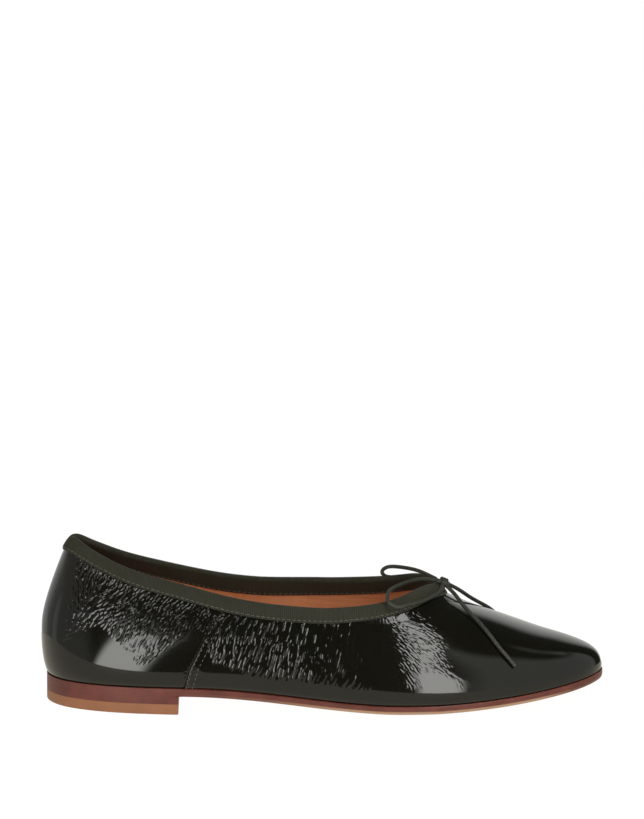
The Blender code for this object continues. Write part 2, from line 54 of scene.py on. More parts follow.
# %% [markdown]
# ## Camera
# The photograph was taken with a long lens from the outer side, 14 degrees above the floor. We aim the
# lens a little above the shoe, so that the shoe sits low in the frame as it does there, and need no
# shift.

# %% Camera
PHOTO = (644, 819)  # pixels
PIXELS_PER_METRE = 2244.0  # scale of the shoe in the photograph
ELEVATION = math.radians(14.0)
DISTANCE = 5.0
AIM = np.array([0.0, 0.0, 0.030])  # a place in the shoe
AIM_PIXEL = 633.2  # how far down the photograph that place is

focal_pixels = PIXELS_PER_METRE * DISTANCE
drop = math.atan((AIM_PIXEL - PHOTO[1] / 2) / focal_pixels)
camera = bpy.data.objects.new("camera", bpy.data.cameras.new("camera"))
camera.data.lens = camera.data.sensor_width * focal_pixels / PHOTO[1]
camera.data.clip_end = 100.0
camera.location = AIM + DISTANCE * np.array([0.0, -math.cos(ELEVATION), math.sin(ELEVATION)])
camera.rotation_euler = (math.pi / 2 - ELEVATION + drop, 0.0, 0.0)
bpy.context.scene.collection.objects.link(camera)
bpy.context.scene.camera = camera
print("lens", round(camera.data.lens, 1), "mm")

# %% [markdown]
# ## The last
# A shoemaker shapes every piece on a last, and so do we. These tables and curves are the ones that the
# solids were made from, so a finer mesh made here lies exactly where its solid does.

# %% Sizes and tables of the last
SHOE_LENGTH = 0.250
BALL_WIDTH = 0.0785
BACK_HEIGHT = 0.0607
TOE_SPRING = 0.0095
EDGE_LIFT = 0.0022
TOP_PIECE_THICKNESS = 0.0045
LIFT_THICKNESS = 0.0030
HEEL_LENGTH = 0.0590
OUTSOLE_THICKNESS = 0.0038
SOLE_MARGIN = 0.0005
INSOLE_THICKNESS = 0.0020
WALL = 0.0016
RIBBON_WIDTH = 0.0062  # outer leg of the folded ribbon
RIBBON_INNER = RIBBON_WIDTH + 0.0012  # its inner leg
RIBBON_THICKNESS = 0.0006
CORD_DIAMETER = 0.0020
FOLD_ROOM = 0.0006
FIT_GAP = 0.0003
HEEL_HEIGHT = TOP_PIECE_THICKNESS + LIFT_THICKNESS + 2 * FIT_GAP

SOLE_PLAN = [  # along, lateral, medial
    (0.0088, 0.000, 0.000), (0.0300, 0.183, 0.176), (0.0820, 0.306, 0.284),
    (0.1650, 0.386, 0.332), (0.2700, 0.424, 0.324), (0.3900, 0.459, 0.305),
    (0.5000, 0.500, 0.352), (0.6100, 0.534, 0.432), (0.6900, 0.528, 0.465),
    (0.7700, 0.476, 0.442), (0.8500, 0.391, 0.376), (0.9160, 0.297, 0.288),
    (0.9640, 0.200, 0.196), (0.9890, 0.110, 0.108), (1.0000, 0.000, 0.000),
]
COLLAR_PLAN = [  # along, lateral, medial
    (0.0540, 0.000, 0.000), (0.0640, 0.076, 0.073), (0.0840, 0.136, 0.134),
    (0.1220, 0.190, 0.180), (0.1760, 0.243, 0.220), (0.2400, 0.296, 0.254),
    (0.3000, 0.343, 0.268), (0.3700, 0.382, 0.270), (0.4400, 0.402, 0.276),
    (0.5100, 0.404, 0.288), (0.5700, 0.384, 0.297), (0.6150, 0.345, 0.290),
    (0.6480, 0.280, 0.254), (0.6740, 0.180, 0.170), (0.6900, 0.098, 0.094),
    (0.7030, 0.000, 0.000),
]
CREST = [  # along, height
    (0.0000, 0.296), (0.0006, 0.400), (0.0044, 0.492), (0.0116, 0.600), (0.0196, 0.700),
    (0.0284, 0.800), (0.0384, 0.905), (0.0560, 1.016), (0.0840, 1.045), (0.1300, 1.009),
    (0.2000, 0.986), (0.3000, 1.025), (0.4100, 1.050), (0.5000, 1.001), (0.5800, 0.912),
    (0.6320, 0.835), (0.6680, 0.770), (0.7000, 0.710), (0.7360, 0.640), (0.7660, 0.580),
    (0.8020, 0.520), (0.8450, 0.446), (0.8880, 0.368), (0.9240, 0.308), (0.9560, 0.244),
    (0.9770, 0.188), (0.9890, 0.139), (0.9956, 0.088), (0.9974, 0.046),
]
BELLY = [  # along, height, lateral bulge, medial bulge
    (0.0116, 0.296, 0.0369, 0.0369), (0.0500, 0.170, 0.0300, 0.0310),
    (0.1200, 0.085, 0.0250, 0.0270), (0.2600, 0.070, 0.0240, 0.0320),
    (0.4200, 0.065, 0.0240, 0.0400), (0.5600, 0.062, 0.0220, 0.0300),
    (0.6800, 0.060, 0.0180, 0.0190), (0.8200, 0.056, 0.0130, 0.0130),
    (0.9300, 0.050, 0.0080, 0.0080), (0.9972, 0.046, 0.0022, 0.0022),
]
WAIST_START, TREAD_START, TREAD_END = 0.26, 0.64, 0.70
SPRING_POWER = 1.8
FLAT_TREAD_SHARE = 0.5
EDGE_LIFT_FULL, EDGE_LIFT_FADE, TIP_LIFT_SHARE = 0.60, 0.72, 0.15
DOME_POWER_HEEL, DOME_POWER_TOE, DOME_CHANGE = 2.0, 2.25, (0.5, 0.9)
PEAK_SHIFT, SHIFT_GROWS, SHIFT_FADES = 0.06, (0.0, 0.25), (0.85, 1.0)
THROAT_RISE, RISE_REACH, RISE_START = 0.0030, 0.0100, 0.50
TUCK_ANGLE = math.radians(76)
FAN = 0.06
DENSE = 1600
SIDES = (-1, 1)  # outer side and inner side


# %% Curves of the last
def spline(points, count, start=None, end=None):
    """Points on a cubic spline with even curvature through the given points."""
    points = np.array(points, float)
    chords = np.linalg.norm(np.diff(points, axis=0), axis=1)
    knots = np.concatenate([[0.0], np.cumsum(chords)])
    size = len(points)
    matrix = np.zeros((size, size))
    right = np.zeros_like(points)
    for i in range(1, size - 1):
        before, after = chords[i - 1], chords[i]
        matrix[i, i - 1 : i + 2] = before, 2 * (before + after), after
        slope_in = (points[i] - points[i - 1]) / before
        right[i] = 6 * ((points[i + 1] - points[i]) / after - slope_in)
    matrix[0, 0] = matrix[-1, -1] = 1.0
    if start is not None:
        matrix[0, :2] = 2 * chords[0], chords[0]
        right[0] = 6 * ((points[1] - points[0]) / chords[0] - np.array(start, float))
    if end is not None:
        matrix[-1, -2:] = chords[-1], 2 * chords[-1]
        right[-1] = 6 * (np.array(end, float) - (points[-1] - points[-2]) / chords[-1])
    bends = np.linalg.solve(matrix, right)
    at = np.linspace(0.0, knots[-1], count)
    span = np.clip(np.searchsorted(knots, at, side="right") - 1, 0, size - 2)
    width = chords[span][:, None]
    left = (knots[span + 1] - at)[:, None] / width
    rest = 1.0 - left
    pull = (left**3 - left) * bends[span] + (rest**3 - rest) * bends[span + 1]
    return left * points[span] + rest * points[span + 1] + pull * width**2 / 6


def graph(rows, column):
    """A column of a table as a smooth function of its first column."""
    dense = spline([(row[0], row[column] * 1e-6) for row in rows], DENSE)
    return lambda along: np.interp(along, dense[:, 0], dense[:, 1] * 1e6)


def ease(low, high, value):
    """Smooth step from 0 at low to 1 at high."""
    share = np.clip((value - low) / (high - low), 0.0, 1.0)
    return share * share * (3 - 2 * share)


def half_plan(rows, column, side):
    """One side of a plan outline, from heel to toe."""
    points = [(row[0] * SHOE_LENGTH, side * row[column] * BALL_WIDTH) for row in rows]
    return spline(points, DENSE, start=(0, side), end=(0, -side))


def moved_out(half, side, distance):
    """The outline moved outwards."""
    tangent = np.gradient(half, axis=0)
    tangent /= np.linalg.norm(tangent, axis=1)[:, None]
    normal = np.column_stack([-side * tangent[:, 1], side * tangent[:, 0]])
    normal[0], normal[-1] = (-1.0, 0.0), (1.0, 0.0)
    return half + normal * np.broadcast_to(distance, len(half))[:, None]


def across(half, x):
    """How far to the side an outline is at x."""
    return np.interp(x, half[:, 0], half[:, 1])


SOLE = {side: half_plan(SOLE_PLAN, 1 if side < 0 else 2, side) for side in SIDES}
FEATHER = {side: moved_out(SOLE[side], side, -SOLE_MARGIN) for side in SIDES}
COLLAR = {side: half_plan(COLLAR_PLAN, 1 if side < 0 else 2, side) for side in SIDES}
COLLAR_MARGIN = {side: moved_out(COLLAR[side], side, RIBBON_INNER) for side in SIDES}
BULGE = {side: graph(BELLY, 2 if side < 0 else 3) for side in SIDES}
WIDEST = {
    side: moved_out(FEATHER[side], side, BULGE[side](FEATHER[side][:, 0] / SHOE_LENGTH) * BALL_WIDTH)
    for side in SIDES
}
BELLY_HEIGHT = graph(BELLY, 1)
CREST_LINE = spline(
    [(along, height * BACK_HEIGHT / SHOE_LENGTH) for along, height in CREST],
    2 * DENSE,
    start=(0, 1),
    end=(0, -1),
)
MIDDLE = np.array([
    (WIDEST[-1][0, 0] + SHOE_LENGTH) / 2,
    (np.abs(WIDEST[1][:, 1]).max() - np.abs(WIDEST[-1][:, 1]).max()) / 2,
    0.0,
])
print("middle of the shoe on its last", MIDDLE)


# %% Surfaces of the last
def keel(x):
    """Height of the underside of the outsole along its middle."""
    along = x / SHOE_LENGTH
    fall = np.clip((along - WAIST_START) / (TREAD_START - WAIST_START), 0.0, 1.0)
    spring = np.clip((along - TREAD_END) / (1 - TREAD_END), 0.0, 1.0)
    heel_part = HEEL_HEIGHT * 0.5 * (1 + np.cos(math.pi * fall))
    return np.where(fall < 1.0, heel_part, 0.0) + TOE_SPRING * spring**SPRING_POWER


def edge_lift(x):
    """How much higher the sides of the sole are than its keel."""
    along = x / SHOE_LENGTH
    fade = (1 - TIP_LIFT_SHARE) * ease(EDGE_LIFT_FADE, 1.0, along)
    return EDGE_LIFT * ease(WAIST_START, EDGE_LIFT_FULL, along) * (1 - fade)


def sole_bottom(x, y):
    """Underside of the outsole."""
    low, high = across(SOLE[-1], x), across(SOLE[1], x)
    half_width = np.maximum((high - low) / 2, 1e-5)
    share = np.clip(np.abs(y - (high + low) / 2) / half_width, 0.0, 1.0)
    return keel(x) + edge_lift(x) * ease(FLAT_TREAD_SHARE, 1.0, share)


def sole_edge_top(x):
    """Top of the outsole at its edge."""
    return keel(x) + edge_lift(x) + OUTSOLE_THICKNESS


def belly_z(x):
    """Height of the upper's widest line."""
    return sole_edge_top(x) + BELLY_HEIGHT(x / SHOE_LENGTH) * BACK_HEIGHT


def last_z(x, y):
    """Height of the last's surface above its widest line."""
    along = x / SHOE_LENGTH
    crest = sole_edge_top(x) + np.interp(x, *(CREST_LINE * SHOE_LENGTH).T)
    low, high = across(WIDEST[-1], x), across(WIDEST[1], x)
    half_width = np.maximum((high - low) / 2, 1e-7)
    place = np.clip((y - (high + low) / 2) / half_width, -1.0, 1.0)
    lean = PEAK_SHIFT * ease(*SHIFT_GROWS, along) * (1 - ease(*SHIFT_FADES, along))
    root = np.sqrt(np.maximum(1 - 4 * lean * (place - lean), 0.0))
    turned = np.clip(np.abs(2 * (place - lean) / (1 + root)), 0.0, 1.0)
    power = DOME_POWER_HEEL + (DOME_POWER_TOE - DOME_POWER_HEEL) * ease(*DOME_CHANGE, along)
    return belly_z(x) + (crest - belly_z(x)) * np.sqrt(1 - turned**power)


def lengths(line):
    """How far along a line each of its points lies."""
    return np.concatenate([[0.0], np.cumsum(np.linalg.norm(np.diff(line, axis=0), axis=1))])


def at_lengths(line, places):
    """Points at given distances along a line."""
    run = lengths(line)
    return np.column_stack([np.interp(places, run, line[:, k]) for k in range(line.shape[1])])


def place_on(half, index):
    """Point of an outline at a fractional index."""
    return np.array([np.interp(index, range(DENSE), half[:, k]) for k in (0, 1)])


def band(collar, margin, count):
    """Dense line up the last to the collar, square to it, as long as the ribbon's inner leg."""
    plan = collar + (margin - collar) * np.linspace(0.0, 1.0, count)[:, None]
    line = np.column_stack([plan, last_z(plan[:, 0], plan[:, 1])])
    return at_lengths(line, np.linspace(RIBBON_INNER, 0.0, count))


def meridian(side, share, count=240):
    """Dense line up the outside of the upper, from the sole's edge to the collar. It climbs at a
    slant to the band under the ribbon and crosses that squarely."""
    index = share * (DENSE - 1)
    foot, belly = place_on(FEATHER[side], index), place_on(WIDEST[side], index)
    run = lengths(COLLAR[side])
    fanned = share - FAN * math.sin(math.pi * share)
    edge_index = np.interp(fanned * run[-1], run, range(DENSE))
    collar = place_on(COLLAR[side], edge_index)
    top_band = band(collar, place_on(COLLAR_MARGIN[side], edge_index), count // 4)
    turn = np.linspace(TUCK_ANGLE, 0.0, count // 4, endpoint=False)
    out = (1 - np.cos(turn)) / (1 - math.cos(TUCK_ANGLE))
    foot_z = sole_edge_top(foot[0]) + FIT_GAP
    top_z = belly_z(belly[0])
    tuck_z = top_z - (top_z - foot_z) * np.sin(turn) / math.sin(TUCK_ANGLE)
    tuck = np.column_stack([belly + (foot - belly) * out[:, None], tuck_z])
    swing = 1 - np.cos(np.linspace(0.0, math.pi / 2, count))
    plan = belly + (top_band[0, :2] - belly) * swing[:, None]
    wall = np.vstack([np.column_stack([plan, last_z(plan[:, 0], plan[:, 1])]), top_band[1:]])
    wall[0, 2] = top_z
    below = lengths(wall)[-1] - lengths(wall)
    rise = THROAT_RISE * ease(RISE_START, COLLAR_PLAN[-1][0], collar[0] / SHOE_LENGTH)
    wall[:, 2] += rise * np.clip(1 - below / RISE_REACH, 0.0, 1.0) ** 2
    return np.vstack([tuck, wall])


# %% [markdown]
# ## A map of the upper's skin
# Every piece of the upper lies on one curved skin, so we measure that skin once. It is a map from two
# numbers to a place: a turn, which runs from the heel over the outer side to the toe at 1 and back
# along the inner side to 2, and a height, which is the share of the way from sole to top edge. Pieces
# can then be cut out of it as a pattern cutter does.

# %% Skin map
STATIONS = 700
LEVELS = 200


def skin_of(side):
    """The skin of one side: stations from heel to toe, each a line from the sole to the top edge."""
    lines = []
    for share in np.linspace(0.0, 1.0, STATIONS):
        line = meridian(side, share)
        lines.append(at_lengths(line, np.linspace(0.0, lengths(line)[-1], LEVELS)))
    return np.array(lines) - MIDDLE


SKIN = np.concatenate([skin_of(-1), skin_of(1)[-2::-1]])
SKIN_UP = np.concatenate(
    [np.zeros((len(SKIN), 1)), np.cumsum(np.linalg.norm(np.diff(SKIN, axis=1), axis=2), axis=1)],
    axis=1,
)


def sampled(table, turn, height):
    """The value of a table over the skin at any turns and heights."""
    across_at = np.clip(turn / 2 * (len(table) - 1), 0, len(table) - 1.000001)
    up_at = np.clip(height * (LEVELS - 1), 0, LEVELS - 1.000001)
    i, j = across_at.astype(int), up_at.astype(int)
    u, v = across_at - i, up_at - j
    if table.ndim == 3:
        u, v = u[..., None], v[..., None]
    low = table[i, j] * (1 - u) + table[i + 1, j] * u
    high = table[i, j + 1] * (1 - u) + table[i + 1, j + 1] * u
    return low * (1 - v) + high * v


TURN_STEP, HEIGHT_STEP = 0.002, 0.01  # how far beside a place its direction is probed
STEADY_HEIGHTS = (0.06, 0.36)  # below and above the stretch where the skin's lines run flat
WEAK_SQUARENESS = (0.55, 0.35)  # where steady directions begin to count, and where they take over
STEADY_FADES_IN, STEADY_FADES_OUT = (0.03, 0.06), (0.40, 0.34)  # heights


def square_to_skin(turn, height):
    """Directions out of the skin, and how squarely its lines meet there, from 0 to 1."""
    before = sampled(SKIN, (turn - TURN_STEP) % 2, height)
    after = sampled(SKIN, (turn + TURN_STEP) % 2, height)
    low = sampled(SKIN, turn, np.maximum(height - HEIGHT_STEP, 0))
    high = sampled(SKIN, turn, np.minimum(height + HEIGHT_STEP, 1))
    along, up = after - before, high - low
    normal = np.cross(along, up)
    size = np.linalg.norm(normal, axis=-1)
    squareness = size / (np.linalg.norm(along, axis=-1) * np.linalg.norm(up, axis=-1))
    return normal / size[..., None], squareness


def outward(turn, height):
    """Directions out of the skin, smooth over the closed heel. In the inner waist the skin's lines run
    almost along the shoe for a few millimetres, and there the direction comes from below and above."""
    normal, squareness = square_to_skin(turn, height)
    below, above = (square_to_skin(turn, np.full(np.shape(height), h))[0] for h in STEADY_HEIGHTS)
    share = ease(*STEADY_HEIGHTS, height)[..., None]
    steady = below * (1 - share) + above * share
    weak = ease(*WEAK_SQUARENESS, squareness) * ease(*STEADY_FADES_IN, height)
    weak = (weak * ease(*STEADY_FADES_OUT, height))[..., None]
    normal = normal * (1 - weak) + steady * weak
    return normal / np.linalg.norm(normal, axis=-1)[..., None]


print("skin map", SKIN.shape, "tallest", round(SKIN_UP[:, -1].max() / MM, 1), "mm")

# %% [markdown]
# ## Small tools
# A few helpers make the rest short. One turns rows of points into a mesh with its own measured UV map
# and marks, one builds node trees, and one runs a Geometry Nodes tree and keeps the result as a plain
# mesh.


# %% Mesh tools
def linked(name, mesh):
    """A mesh as an object of the scene."""
    obj = bpy.data.objects.new(name, mesh)
    bpy.context.scene.collection.objects.link(obj)
    return obj


def make_piece(name, points, faces, uv, marks=None, sharp=40.0):
    """A mesh piece with its doubles merged. uv is in metres for each point, marks are numbers for
    each point that materials and node trees read, and edges bent by more than sharp degrees are sharp."""
    mesh = bpy.data.meshes.new(name)
    mesh.from_pydata(np.asarray(points).tolist(), [], faces)
    corners = np.zeros(len(mesh.loops), int)
    mesh.loops.foreach_get("vertex_index", corners)
    mesh.uv_layers.new(name="measured").data.foreach_set("uv", np.asarray(uv)[corners].ravel())
    for label, values in (marks or {}).items():
        mark = mesh.attributes.new(label, "FLOAT", "POINT")
        mark.data.foreach_set("value", np.asarray(values, np.float32))
    shape = bmesh.new()
    shape.from_mesh(mesh)
    bmesh.ops.remove_doubles(shape, verts=shape.verts, dist=2e-6)
    bmesh.ops.dissolve_degenerate(shape, edges=shape.edges, dist=1e-7)
    bmesh.ops.recalc_face_normals(shape, faces=shape.faces)
    shape.to_mesh(mesh)
    shape.free()
    mesh.shade_smooth()
    mesh.set_sharp_from_angle(angle=math.radians(sharp))
    return linked(name, mesh)


def strips(ids, closed=False):
    """Quads between the rows of a table of point numbers."""
    faces = []
    rows, columns = ids.shape
    for row in range(rows - 1):
        for column in range(columns if closed else columns - 1):
            after = (column + 1) % columns
            faces.append((ids[row, column], ids[row, after], ids[row + 1, after], ids[row + 1, column]))
    return [tuple(int(i) for i in face) for face in faces]


def bridge(one, other):
    """Faces between two lines of points with different counts, from end to end."""
    faces, i, j = [], 0, 0
    while i < len(one) - 1 or j < len(other) - 1:
        step_one = (i + 1) / (len(one) - 1) <= (j + 1) / (len(other) - 1)
        if j == len(other) - 1 or (i < len(one) - 1 and step_one):
            faces.append((int(one[i]), int(one[i + 1]), int(other[j])))
            i += 1
        else:
            faces.append((int(one[i]), int(other[j + 1]), int(other[j])))
            j += 1
    return faces


# %% Node tools
def add_node(tree, kind, values=None, **settings):
    """A node with its settings, and its inputs filled with values or linked to other nodes."""
    node = tree.nodes.new(kind)
    for key, value in settings.items():
        setattr(node, key, value)
    for socket, value in (values or {}).items():
        if isinstance(value, bpy.types.Node):
            value = value.outputs[0]
        if isinstance(value, bpy.types.NodeSocket):
            tree.links.new(value, node.inputs[socket])
        else:
            node.inputs[socket].default_value = value
    return node


def math_node(tree, operation, *values):
    """An arithmetic node."""
    return add_node(tree, "ShaderNodeMath", dict(enumerate(values)), operation=operation)


def new_group(name, kind, inputs, outputs):
    """A node group with named inputs and outputs."""
    tree = bpy.data.node_groups.new(name, kind)
    for label, socket, default in inputs:
        made = tree.interface.new_socket(label, in_out="INPUT", socket_type="NodeSocket" + socket)
        if default is not None:
            made.default_value = default
    for label, socket in outputs:
        tree.interface.new_socket(label, in_out="OUTPUT", socket_type="NodeSocket" + socket)
    return tree, tree.nodes.new("NodeGroupInput"), tree.nodes.new("NodeGroupOutput")


def grown(source, tree, name, values):
    """Runs a Geometry Nodes tree on an object and keeps the result as a plain mesh piece."""
    modifier = source.modifiers.new("grow", "NODES")
    modifier.node_group = tree
    for item in tree.interface.items_tree:
        if item.item_type == "SOCKET" and item.in_out == "INPUT" and item.name in values:
            modifier[item.identifier] = values[item.name]
    depsgraph = bpy.context.evaluated_depsgraph_get()
    evaluated = source.evaluated_get(depsgraph)
    mesh = bpy.data.meshes.new_from_object(evaluated, preserve_all_data_layers=True, depsgraph=depsgraph)
    bpy.data.objects.remove(source)
    mesh.name = name
    return linked(name, mesh)


def finished(piece, slot, *nodes):
    """Lets a piece ride on the shoe and hides the solids that it stands for. slot is not used."""
    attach(piece, "root")
    if nodes:
        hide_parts(*nodes)
    return piece


# %% [markdown]
# ## Finishes
# The patent leather is a dark olive hide under a clear lacquer, so it is a dark base with a glossy
# coat. Ribbon, thread and cord are dull textile and leather, and the sole is vegetable-tanned leather
# with a stained edge. Grain and slow colour change are node groups that all of them share.

# %% Shared effects
GRAIN, grain_in, grain_out = new_group(
    "hide_grain",
    "ShaderNodeTree",
    [("Vector", "Vector", None), ("Size", "Float", 0.0006), ("Creases", "Float", 0.5)],
    [("Height", "Float")],
)
per_metre = math_node(GRAIN, "DIVIDE", 1.0, grain_in.outputs["Size"])
pores = add_node(
    GRAIN,
    "ShaderNodeTexVoronoi",
    {"Vector": grain_in.outputs["Vector"], "Scale": per_metre},
    feature="SMOOTH_F1",
)
folds = add_node(
    GRAIN,
    "ShaderNodeTexNoise",
    {
        "Vector": grain_in.outputs["Vector"],
        "Scale": math_node(GRAIN, "MULTIPLY", per_metre, 0.35),
        "Detail": 3.0,
        "Distortion": 0.6,
    },
)
mixed = add_node(
    GRAIN,
    "ShaderNodeMix",
    {0: grain_in.outputs["Creases"], 2: pores.outputs["Distance"], 3: folds.outputs["Fac"]},
)
GRAIN.links.new(mixed.outputs[0], grain_out.inputs["Height"])

TONE, tone_in, tone_out = new_group(
    "slow_tone",
    "ShaderNodeTree",
    [
        ("Vector", "Vector", None),
        ("Size", "Float", 0.02),
        ("Dark", "Color", (0.1, 0.1, 0.1, 1.0)),
        ("Light", "Color", (0.2, 0.2, 0.2, 1.0)),
        ("Dull", "Float", 0.3),
        ("Shiny", "Float", 0.2),
    ],
    [("Color", "Color"), ("Roughness", "Float"), ("Mask", "Float")],
)
clouds = add_node(
    TONE,
    "ShaderNodeTexNoise",
    {
        "Vector": tone_in.outputs["Vector"],
        "Scale": math_node(TONE, "DIVIDE", 1.0, tone_in.outputs["Size"]),
        "Detail": 4.0,
    },
)
spread = add_node(TONE, "ShaderNodeMapRange", {0: clouds.outputs["Fac"], 1: 0.3, 2: 0.7})
toned = add_node(
    TONE,
    "ShaderNodeMix",
    {0: spread, 6: tone_in.outputs["Dark"], 7: tone_in.outputs["Light"]},
    data_type="RGBA",
)
dulled = add_node(
    TONE,
    "ShaderNodeMapRange",
    {0: spread, 3: tone_in.outputs["Shiny"], 4: tone_in.outputs["Dull"]},
)
TONE.links.new(toned.outputs[2], tone_out.inputs["Color"])
TONE.links.new(dulled.outputs[0], tone_out.inputs["Roughness"])
TONE.links.new(spread.outputs[0], tone_out.inputs["Mask"])


# %% Material tools
def linear(red, green, blue):
    """A colour given as 0 to 255, as Blender's linear numbers."""
    shares = [value / 255 for value in (red, green, blue)]
    return (*[s / 12.92 if s < 0.04045 else ((s + 0.055) / 1.055) ** 2.4 for s in shares], 1.0)


def leather(name, dark, light, tone_size, dull, shiny, grain, creases, depth, **plain):
    """A leather or textile material: slow change of colour and gloss, and grain as bump. What plain
    holds is set on the shader itself."""
    material = bpy.data.materials.new(name)
    material.use_nodes = True
    tree = material.node_tree
    shader = tree.nodes["Principled BSDF"]
    place = add_node(tree, "ShaderNodeTexCoord").outputs["Object"]
    looks = {"Size": tone_size, "Dark": dark, "Light": light, "Dull": dull, "Shiny": shiny}
    tone = add_node(tree, "ShaderNodeGroup", {"Vector": place, **looks}, node_tree=TONE)
    hide = {"Vector": place, "Size": grain, "Creases": creases}
    texture = add_node(tree, "ShaderNodeGroup", hide, node_tree=GRAIN)
    bump = add_node(
        tree,
        "ShaderNodeBump",
        {"Height": texture.outputs["Height"], "Strength": 1.0, "Distance": depth},
    )
    tree.links.new(tone.outputs["Color"], shader.inputs["Base Color"])
    tree.links.new(tone.outputs["Roughness"], shader.inputs["Roughness"])
    tree.links.new(bump.outputs["Normal"], shader.inputs["Normal"])
    for socket, value in plain.items():
        shader.inputs[socket.replace("_", " ")].default_value = value
    return material


def recoloured(tree, kind, tone_socket, values, output, **settings):
    """Puts a node between a material's slow tone and its base colour."""
    tone = next(n for n in tree.nodes if n.type == "GROUP" and n.node_tree == TONE)
    node = add_node(tree, kind, {tone_socket: tone.outputs["Color"], **values}, **settings)
    tree.links.new(node.outputs[output], tree.nodes["Principled BSDF"].inputs["Base Color"])


# %% The shoe's materials
PATENT = leather(
    "patent_leather", linear(16, 16, 10), linear(19, 18, 11),
    tone_size=0.03, dull=0.24, shiny=0.16, grain=0.0016, creases=0.8, depth=0.000012,
    Coat_Weight=1.0, Coat_Roughness=0.03, Coat_IOR=1.5, Specular_IOR_Level=0.06,
)
RIBBON = leather(
    "grosgrain_ribbon", linear(40, 40, 29), linear(46, 46, 33),
    tone_size=0.01, dull=0.85, shiny=0.70, grain=0.0003, creases=0.5, depth=0.00004,
    Sheen_Weight=0.10, Sheen_Roughness=0.4,
)
THREAD = leather(
    "sewing_thread", linear(80, 80, 67), linear(96, 96, 82),
    tone_size=0.004, dull=0.75, shiny=0.55, grain=0.0002, creases=0.3, depth=0.00003,
)
LINING = leather(
    "lining_leather", linear(206, 139, 97), linear(218, 153, 109),
    tone_size=0.02, dull=0.62, shiny=0.5, grain=0.0007, creases=0.6, depth=0.00006,
)
STAINED = leather(
    "stained_sole_leather", linear(92, 42, 32), linear(112, 55, 43),
    tone_size=0.008, dull=0.5, shiny=0.36, grain=0.0005, creases=0.5, depth=0.00005,
)
PLAIN = leather(
    "plain_sole_leather", linear(146, 94, 59), linear(158, 103, 66),
    tone_size=0.012, dull=0.6, shiny=0.5, grain=0.0006, creases=0.5, depth=0.00006,
)
CORD = leather(
    "cord_leather", linear(40, 42, 33), linear(52, 53, 44),
    tone_size=0.006, dull=0.6, shiny=0.48, grain=0.0004, creases=0.4, depth=0.00005,
)
print("materials:", [m.name for m in (PATENT, RIBBON, THREAD, LINING, STAINED, PLAIN, CORD)])

# %% [markdown]
# ## Bow cord
# The bow is one drawstring of round leather cord, about 2 mm thick. Its ends run out of the ribbon,
# are tied in two loops and hang over the vamp. Each run is swept along the route that its solid
# follows, and its length is printed.

# %% Cord routes
OUTER_LOOP = [
    (-0.0032, -0.0015, 0.0014), (-0.0080, -0.0042, 0.0027), (-0.0140, -0.0092, 0.0031),
    (-0.0190, -0.0150, 0.0028), (-0.0232, -0.0215, 0.0022), (-0.0250, -0.0280, 0.0008),
    (-0.0240, -0.0318, -0.0018), (-0.0206, -0.0315, -0.0034), (-0.0160, -0.0282, -0.0032),
    (-0.0108, -0.0238, -0.0030), (-0.0064, -0.0184, -0.0026), (-0.0030, -0.0128, -0.0020),
    (-0.0010, -0.0076, -0.0012), (-0.0004, -0.0034, -0.0006),
]
INNER_LOOP = [
    (-0.0032, 0.0015, 0.0014), (-0.0078, 0.0058, 0.0027), (-0.0118, 0.0108, 0.0031),
    (-0.0166, 0.0165, 0.0028), (-0.0210, 0.0220, 0.0020), (-0.0250, 0.0272, 0.0004),
    (-0.0270, 0.0312, -0.0026), (-0.0258, 0.0336, -0.0050), (-0.0222, 0.0330, -0.0056),
    (-0.0172, 0.0296, -0.0046), (-0.0118, 0.0246, -0.0034), (-0.0070, 0.0190, -0.0026),
    (-0.0034, 0.0130, -0.0018), (-0.0012, 0.0078, -0.0012), (-0.0004, 0.0034, -0.0006),
]
OUTER_END = [
    (-0.0002, -0.0018, 0.0044), (0.0036, -0.0048, 0.0034), (0.0082, -0.0096, 0.0020),
    (0.0138, -0.0154, 0.0014), (0.0196, -0.0218, 0.0014), (0.0250, -0.0266, 0.0014),
    (0.0294, -0.0286, 0.0014), (0.0314, -0.0292, 0.0014),
]
INNER_END = [
    (0.0002, 0.0020, 0.0046), (0.0050, 0.0046, 0.0038), (0.0110, 0.0096, 0.0022),
    (0.0162, 0.0150, 0.0014), (0.0210, 0.0206, 0.0014), (0.0256, 0.0256, 0.0014),
    (0.0292, 0.0285, 0.0014),
]
KNOT_SHIFT = np.array([-0.0013, 0.0, -0.0003])  # from the middle of its solid, as the photograph shows
low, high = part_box("bow_knot")
KNOT = np.array((low + high) / 2) + KNOT_SHIFT


def off_the_last(x, y, distance):
    """A place at a distance outside the last's surface."""
    step = 0.0002
    slope_x = (last_z(x + step, y) - last_z(x - step, y)) / (2 * step)
    slope_y = (last_z(x, y + step) - last_z(x, y - step)) / (2 * step)
    normal = np.array([-slope_x, -slope_y, 1.0])
    normal /= np.linalg.norm(normal)
    return np.array([x, y, float(last_z(x, y))]) + normal * distance


def draped(route):
    """A bow end's route laid over the last."""
    knot = KNOT + MIDDLE
    return [off_the_last(knot[0] + f, knot[1] + s, off) - MIDDLE for f, s, off in route]


ROUTES = {
    "bow_loop_outer": np.array(OUTER_LOOP) + KNOT,
    "bow_loop_inner": np.array(INNER_LOOP) + KNOT,
    "bow_end_outer": np.array(draped(OUTER_END)),
    "bow_end_inner": np.array(draped(INNER_END)),
}
print("knot at", KNOT)


